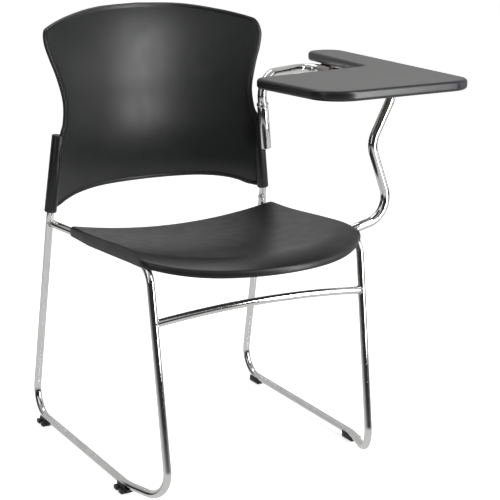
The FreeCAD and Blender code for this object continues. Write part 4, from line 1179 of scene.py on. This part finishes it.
def buildFasteners():
    shape = fixingShape
    down, rearward = Vector((0, 0, -1)), Vector((0, 1, 0))
    seatSpots = [(point - Vector((0, 0, shape["tabThick"])), down,
                  seatHeight(point.x, point.y) - shape["seatShort"] - point.z + shape["tabThick"])
                 for point in tabPoints]
    addFasteners("seatScrews", seatSpots, shape["seatHead"], shape["headHeight"],
                 shape["seatShank"], "chair", "seat_screws")
    faceReach = backShape["sleeveRadius"] + shape["headGap"]
    rearFace = Vector((0, faceReach, 0))
    backSpots = [(mirrored([postPoint(shape["backHeight"]) + rearFace], side)[0], rearward,
                  faceReach + tubeShape["frameRadius"] + shape["backBite"]) for side in (1, -1)]
    addFasteners("backScrews", backSpots, shape["seatHead"], shape["headHeight"],
                 shape["seatShank"], "chair", "back_screws")
    boltLength = 2 * backShape["sleeveRadius"] + shape["headGap"] + shape["boltProud"]
    boltSpots = [(postPoint(height) + rearFace, rearward, boltLength)
                 for height in shape["boltHeights"]]
    addFasteners("socketBolts", boltSpots, shape["boltHead"], shape["boltHeadHeight"],
                 shape["boltShank"], "chair", "socket_bolts")
    hingeSeat = tabletShape["top"] - tabletShape["thick"] - shape["hingePlate"]
    hingeSpots = [(Vector((armShape["hingeHalf"] + shape["hingeInset"], reach + spread, hingeSeat)),
                   down, shape["hingeLength"]) for reach in shape["hingeReach"]
                  for spread in (-shape["hingeSpread"], shape["hingeSpread"])]
    addFasteners("hingeScrews", hingeSpots, shape["hingeHead"], shape["hingeHeadHeight"],
                 shape["hingeShank"], "tablet", "hinge_screws", dome=0.8)


buildFasteners()
print("fasteners made")

# studio: a pale floor and room, soft boxes overhead and a dark belt at the horizon
studio = {
    "floorTone": (0.86, 0.86, 0.86), "floorGlow": 0.66, "roomTone": 1.07,
    "floorMirror": 0.68, "belt": 0.03, "overhead": 0.42, "behind": 0.55,
    "behindAxis": (0.497, 0.868, 0), "floorReach": 18,
}
# each soft box: where it stands, what it faces, its width and height in metres, and its power
softBoxes = {
    "keyLight": ((0.88, -1.4, 1.15), (0, 0.2, 0.78), 0.46, 2.26, 38),
    "stripLight": ((-1.55, -0.55, 1.2), (0, 0.1, 0.35), 0.35, 1.6, 3),
    "fillLight": ((2.2, -0.9, 1.0), (0.1, 0, 0.4), 0.5, 1.5, 5),
    "topLight": ((0.1, 0.9, 2.5), (0, 0.1, 0.5), 1.8, 0.8, 12),
}
view = {
    "azimuth": -29.66, "pitch": 14.91, "position": (-1212.7, -2129.5, 1067.5), "lens": 100.3,
    "shiftX": 0.0038, "shiftY": 0.0112, "sensor": 36, "farClip": 60,
}


def worldRamp(tree, source, stops):
    # brightness along a value that runs from -1 to 1
    spanner = tree.nodes.new("ShaderNodeMapRange")
    spanner.inputs["From Min"].default_value = -1
    spanner.inputs["From Max"].default_value = 1
    tree.links.new(source, spanner.inputs["Value"])
    shade = tree.nodes.new("ShaderNodeValToRGB")
    tree.links.new(spanner.outputs["Result"], shade.inputs["Fac"])
    while len(shade.color_ramp.elements) < len(stops):
        shade.color_ramp.elements.new(1)
    for element, (value, level) in zip(shade.color_ramp.elements, stops):
        element.position = (value + 1) / 2
        element.color = (level, level, level, 1)
    return shade.outputs["Color"]


def buildStudio():
    paint = startMaterial("floorPaint")
    cloud = objectNoise(paint, 0.8, detail=2)
    tone = ramp(paint, cloud, [(0.3, tuple(c * 0.985 for c in studio["floorTone"])),
                               (0.7, studio["floorTone"])])
    finishMaterial(paint, tone, Roughness=0.8, Specular_IOR_Level=0.15,
                   Emission_Color=(1, 1, 1, 1), Emission_Strength=studio["floorGlow"])
    reach = studio["floorReach"]
    mesh = bpy.data.meshes.new("floor")
    mesh.from_pydata([(-reach, -reach, 0), (reach, -reach, 0), (reach, reach, 0), (-reach, reach, 0)],
                     [], [(0, 1, 2, 3)])
    mesh.materials.append(paint)
    floor = bpy.data.objects.new("floor", mesh)
    bpy.context.scene.collection.objects.link(floor)
    floor.visible_glossy = False

    world = bpy.data.worlds.new("studioWorld")
    bpy.context.scene.world = world
    world.use_nodes = True
    tree = world.node_tree
    tree.nodes.clear()
    coordinates = tree.nodes.new("ShaderNodeTexCoord")
    split = tree.nodes.new("ShaderNodeSeparateXYZ")
    tree.links.new(coordinates.outputs["Generated"], split.inputs["Vector"])
    ground, belt, high = studio["floorMirror"], studio["belt"], studio["overhead"]
    byHeight = worldRamp(tree, split.outputs["Z"], [(-1, ground), (-0.34, ground), (-0.16, belt),
                                                    (0.34, belt), (0.55, high), (1, high)])
    facing = tree.nodes.new("ShaderNodeVectorMath")
    facing.operation = "DOT_PRODUCT"
    facing.inputs[1].default_value = studio["behindAxis"]
    tree.links.new(coordinates.outputs["Generated"], facing.inputs[0])
    back = studio["behind"]
    byFacing = worldRamp(tree, facing.outputs["Value"], [(-1, 0), (0.1, 0), (0.45, back), (1, back)])
    brighter = tree.nodes.new("ShaderNodeMix")
    brighter.data_type = "RGBA"
    brighter.blend_type = "LIGHTEN"
    brighter.inputs["Factor"].default_value = 1
    tree.links.new(byHeight, brighter.inputs["A"])
    tree.links.new(byFacing, brighter.inputs["B"])
    mirrorLight = tree.nodes.new("ShaderNodeBackground")
    tree.links.new(brighter.outputs["Result"], mirrorLight.inputs["Color"])
    room = studio["roomTone"]
    roomLight = tree.nodes.new("ShaderNodeBackground")
    roomLight.inputs["Color"].default_value = (room, room, room, 1)
    path = tree.nodes.new("ShaderNodeLightPath")
    joined = tree.nodes.new("ShaderNodeMixShader")
    tree.links.new(path.outputs["Is Camera Ray"], joined.inputs["Fac"])
    tree.links.new(mirrorLight.outputs["Background"], joined.inputs[1])
    tree.links.new(roomLight.outputs["Background"], joined.inputs[2])
    output = tree.nodes.new("ShaderNodeOutputWorld")
    tree.links.new(joined.outputs["Shader"], output.inputs["Surface"])


def addLight(name, location, target, width, height, power):
    data = bpy.data.lights.new(name, "AREA")
    data.shape = "RECTANGLE"
    data.size = width
    data.size_y = height
    data.energy = power
    light = bpy.data.objects.new(name, data)
    bpy.context.scene.collection.objects.link(light)
    light.location = location
    light.rotation_euler = (Vector(target) - Vector(location)).to_track_quat("-Z", "Y").to_euler()
    return light


def addCamera():
    # the viewpoint is in the chair's own millimetres
    cameraData = bpy.data.cameras.new("camera")
    cameraData.sensor_width = view["sensor"]
    cameraData.lens = view["lens"]
    cameraData.shift_x = view["shiftX"]
    cameraData.shift_y = view["shiftY"]
    cameraData.clip_end = view["farClip"]
    camera = bpy.data.objects.new("camera", cameraData)
    bpy.context.scene.collection.objects.link(camera)
    azimuth, pitch = math.radians(view["azimuth"]), math.radians(view["pitch"])
    back = Vector((math.sin(azimuth) * math.cos(pitch), -math.cos(azimuth) * math.cos(pitch),
                   math.sin(pitch)))
    right = Vector((math.cos(azimuth), math.sin(azimuth), 0))
    upward = back.cross(right)
    position = place(*view["position"])
    rows = [(right[i], upward[i], back[i], position[i]) for i in range(3)] + [(0, 0, 0, 1)]
    camera.matrix_world = Matrix(rows)
    bpy.context.scene.camera = camera


buildStudio()
for name, settings in softBoxes.items():
    addLight(name, *settings)
addCamera()
bpy.context.scene.view_settings.view_transform = "Standard"
print("studio made")

# finishes of the nodes that keep their own shape
nodeFinish = {
    "seat_tabs": bracketSteel, "socket_saddle": glideBlack,
    "foot_saddle": glideBlack, "foot_bolt": fastenerSteel, "foot_nut": fastenerSteel,
    "hinge_liner_front": linerIvory, "hinge_liner_rear": linerIvory,
    "hinge_saddle_front": bracketSteel, "hinge_saddle_rear": bracketSteel,
    "thrust_collar": bracketSteel, "stop_collar": bracketSteel,
    "stop_bumpers": stopRubber,
}
for name, material in nodeFinish.items():
    dressNode(name, material)
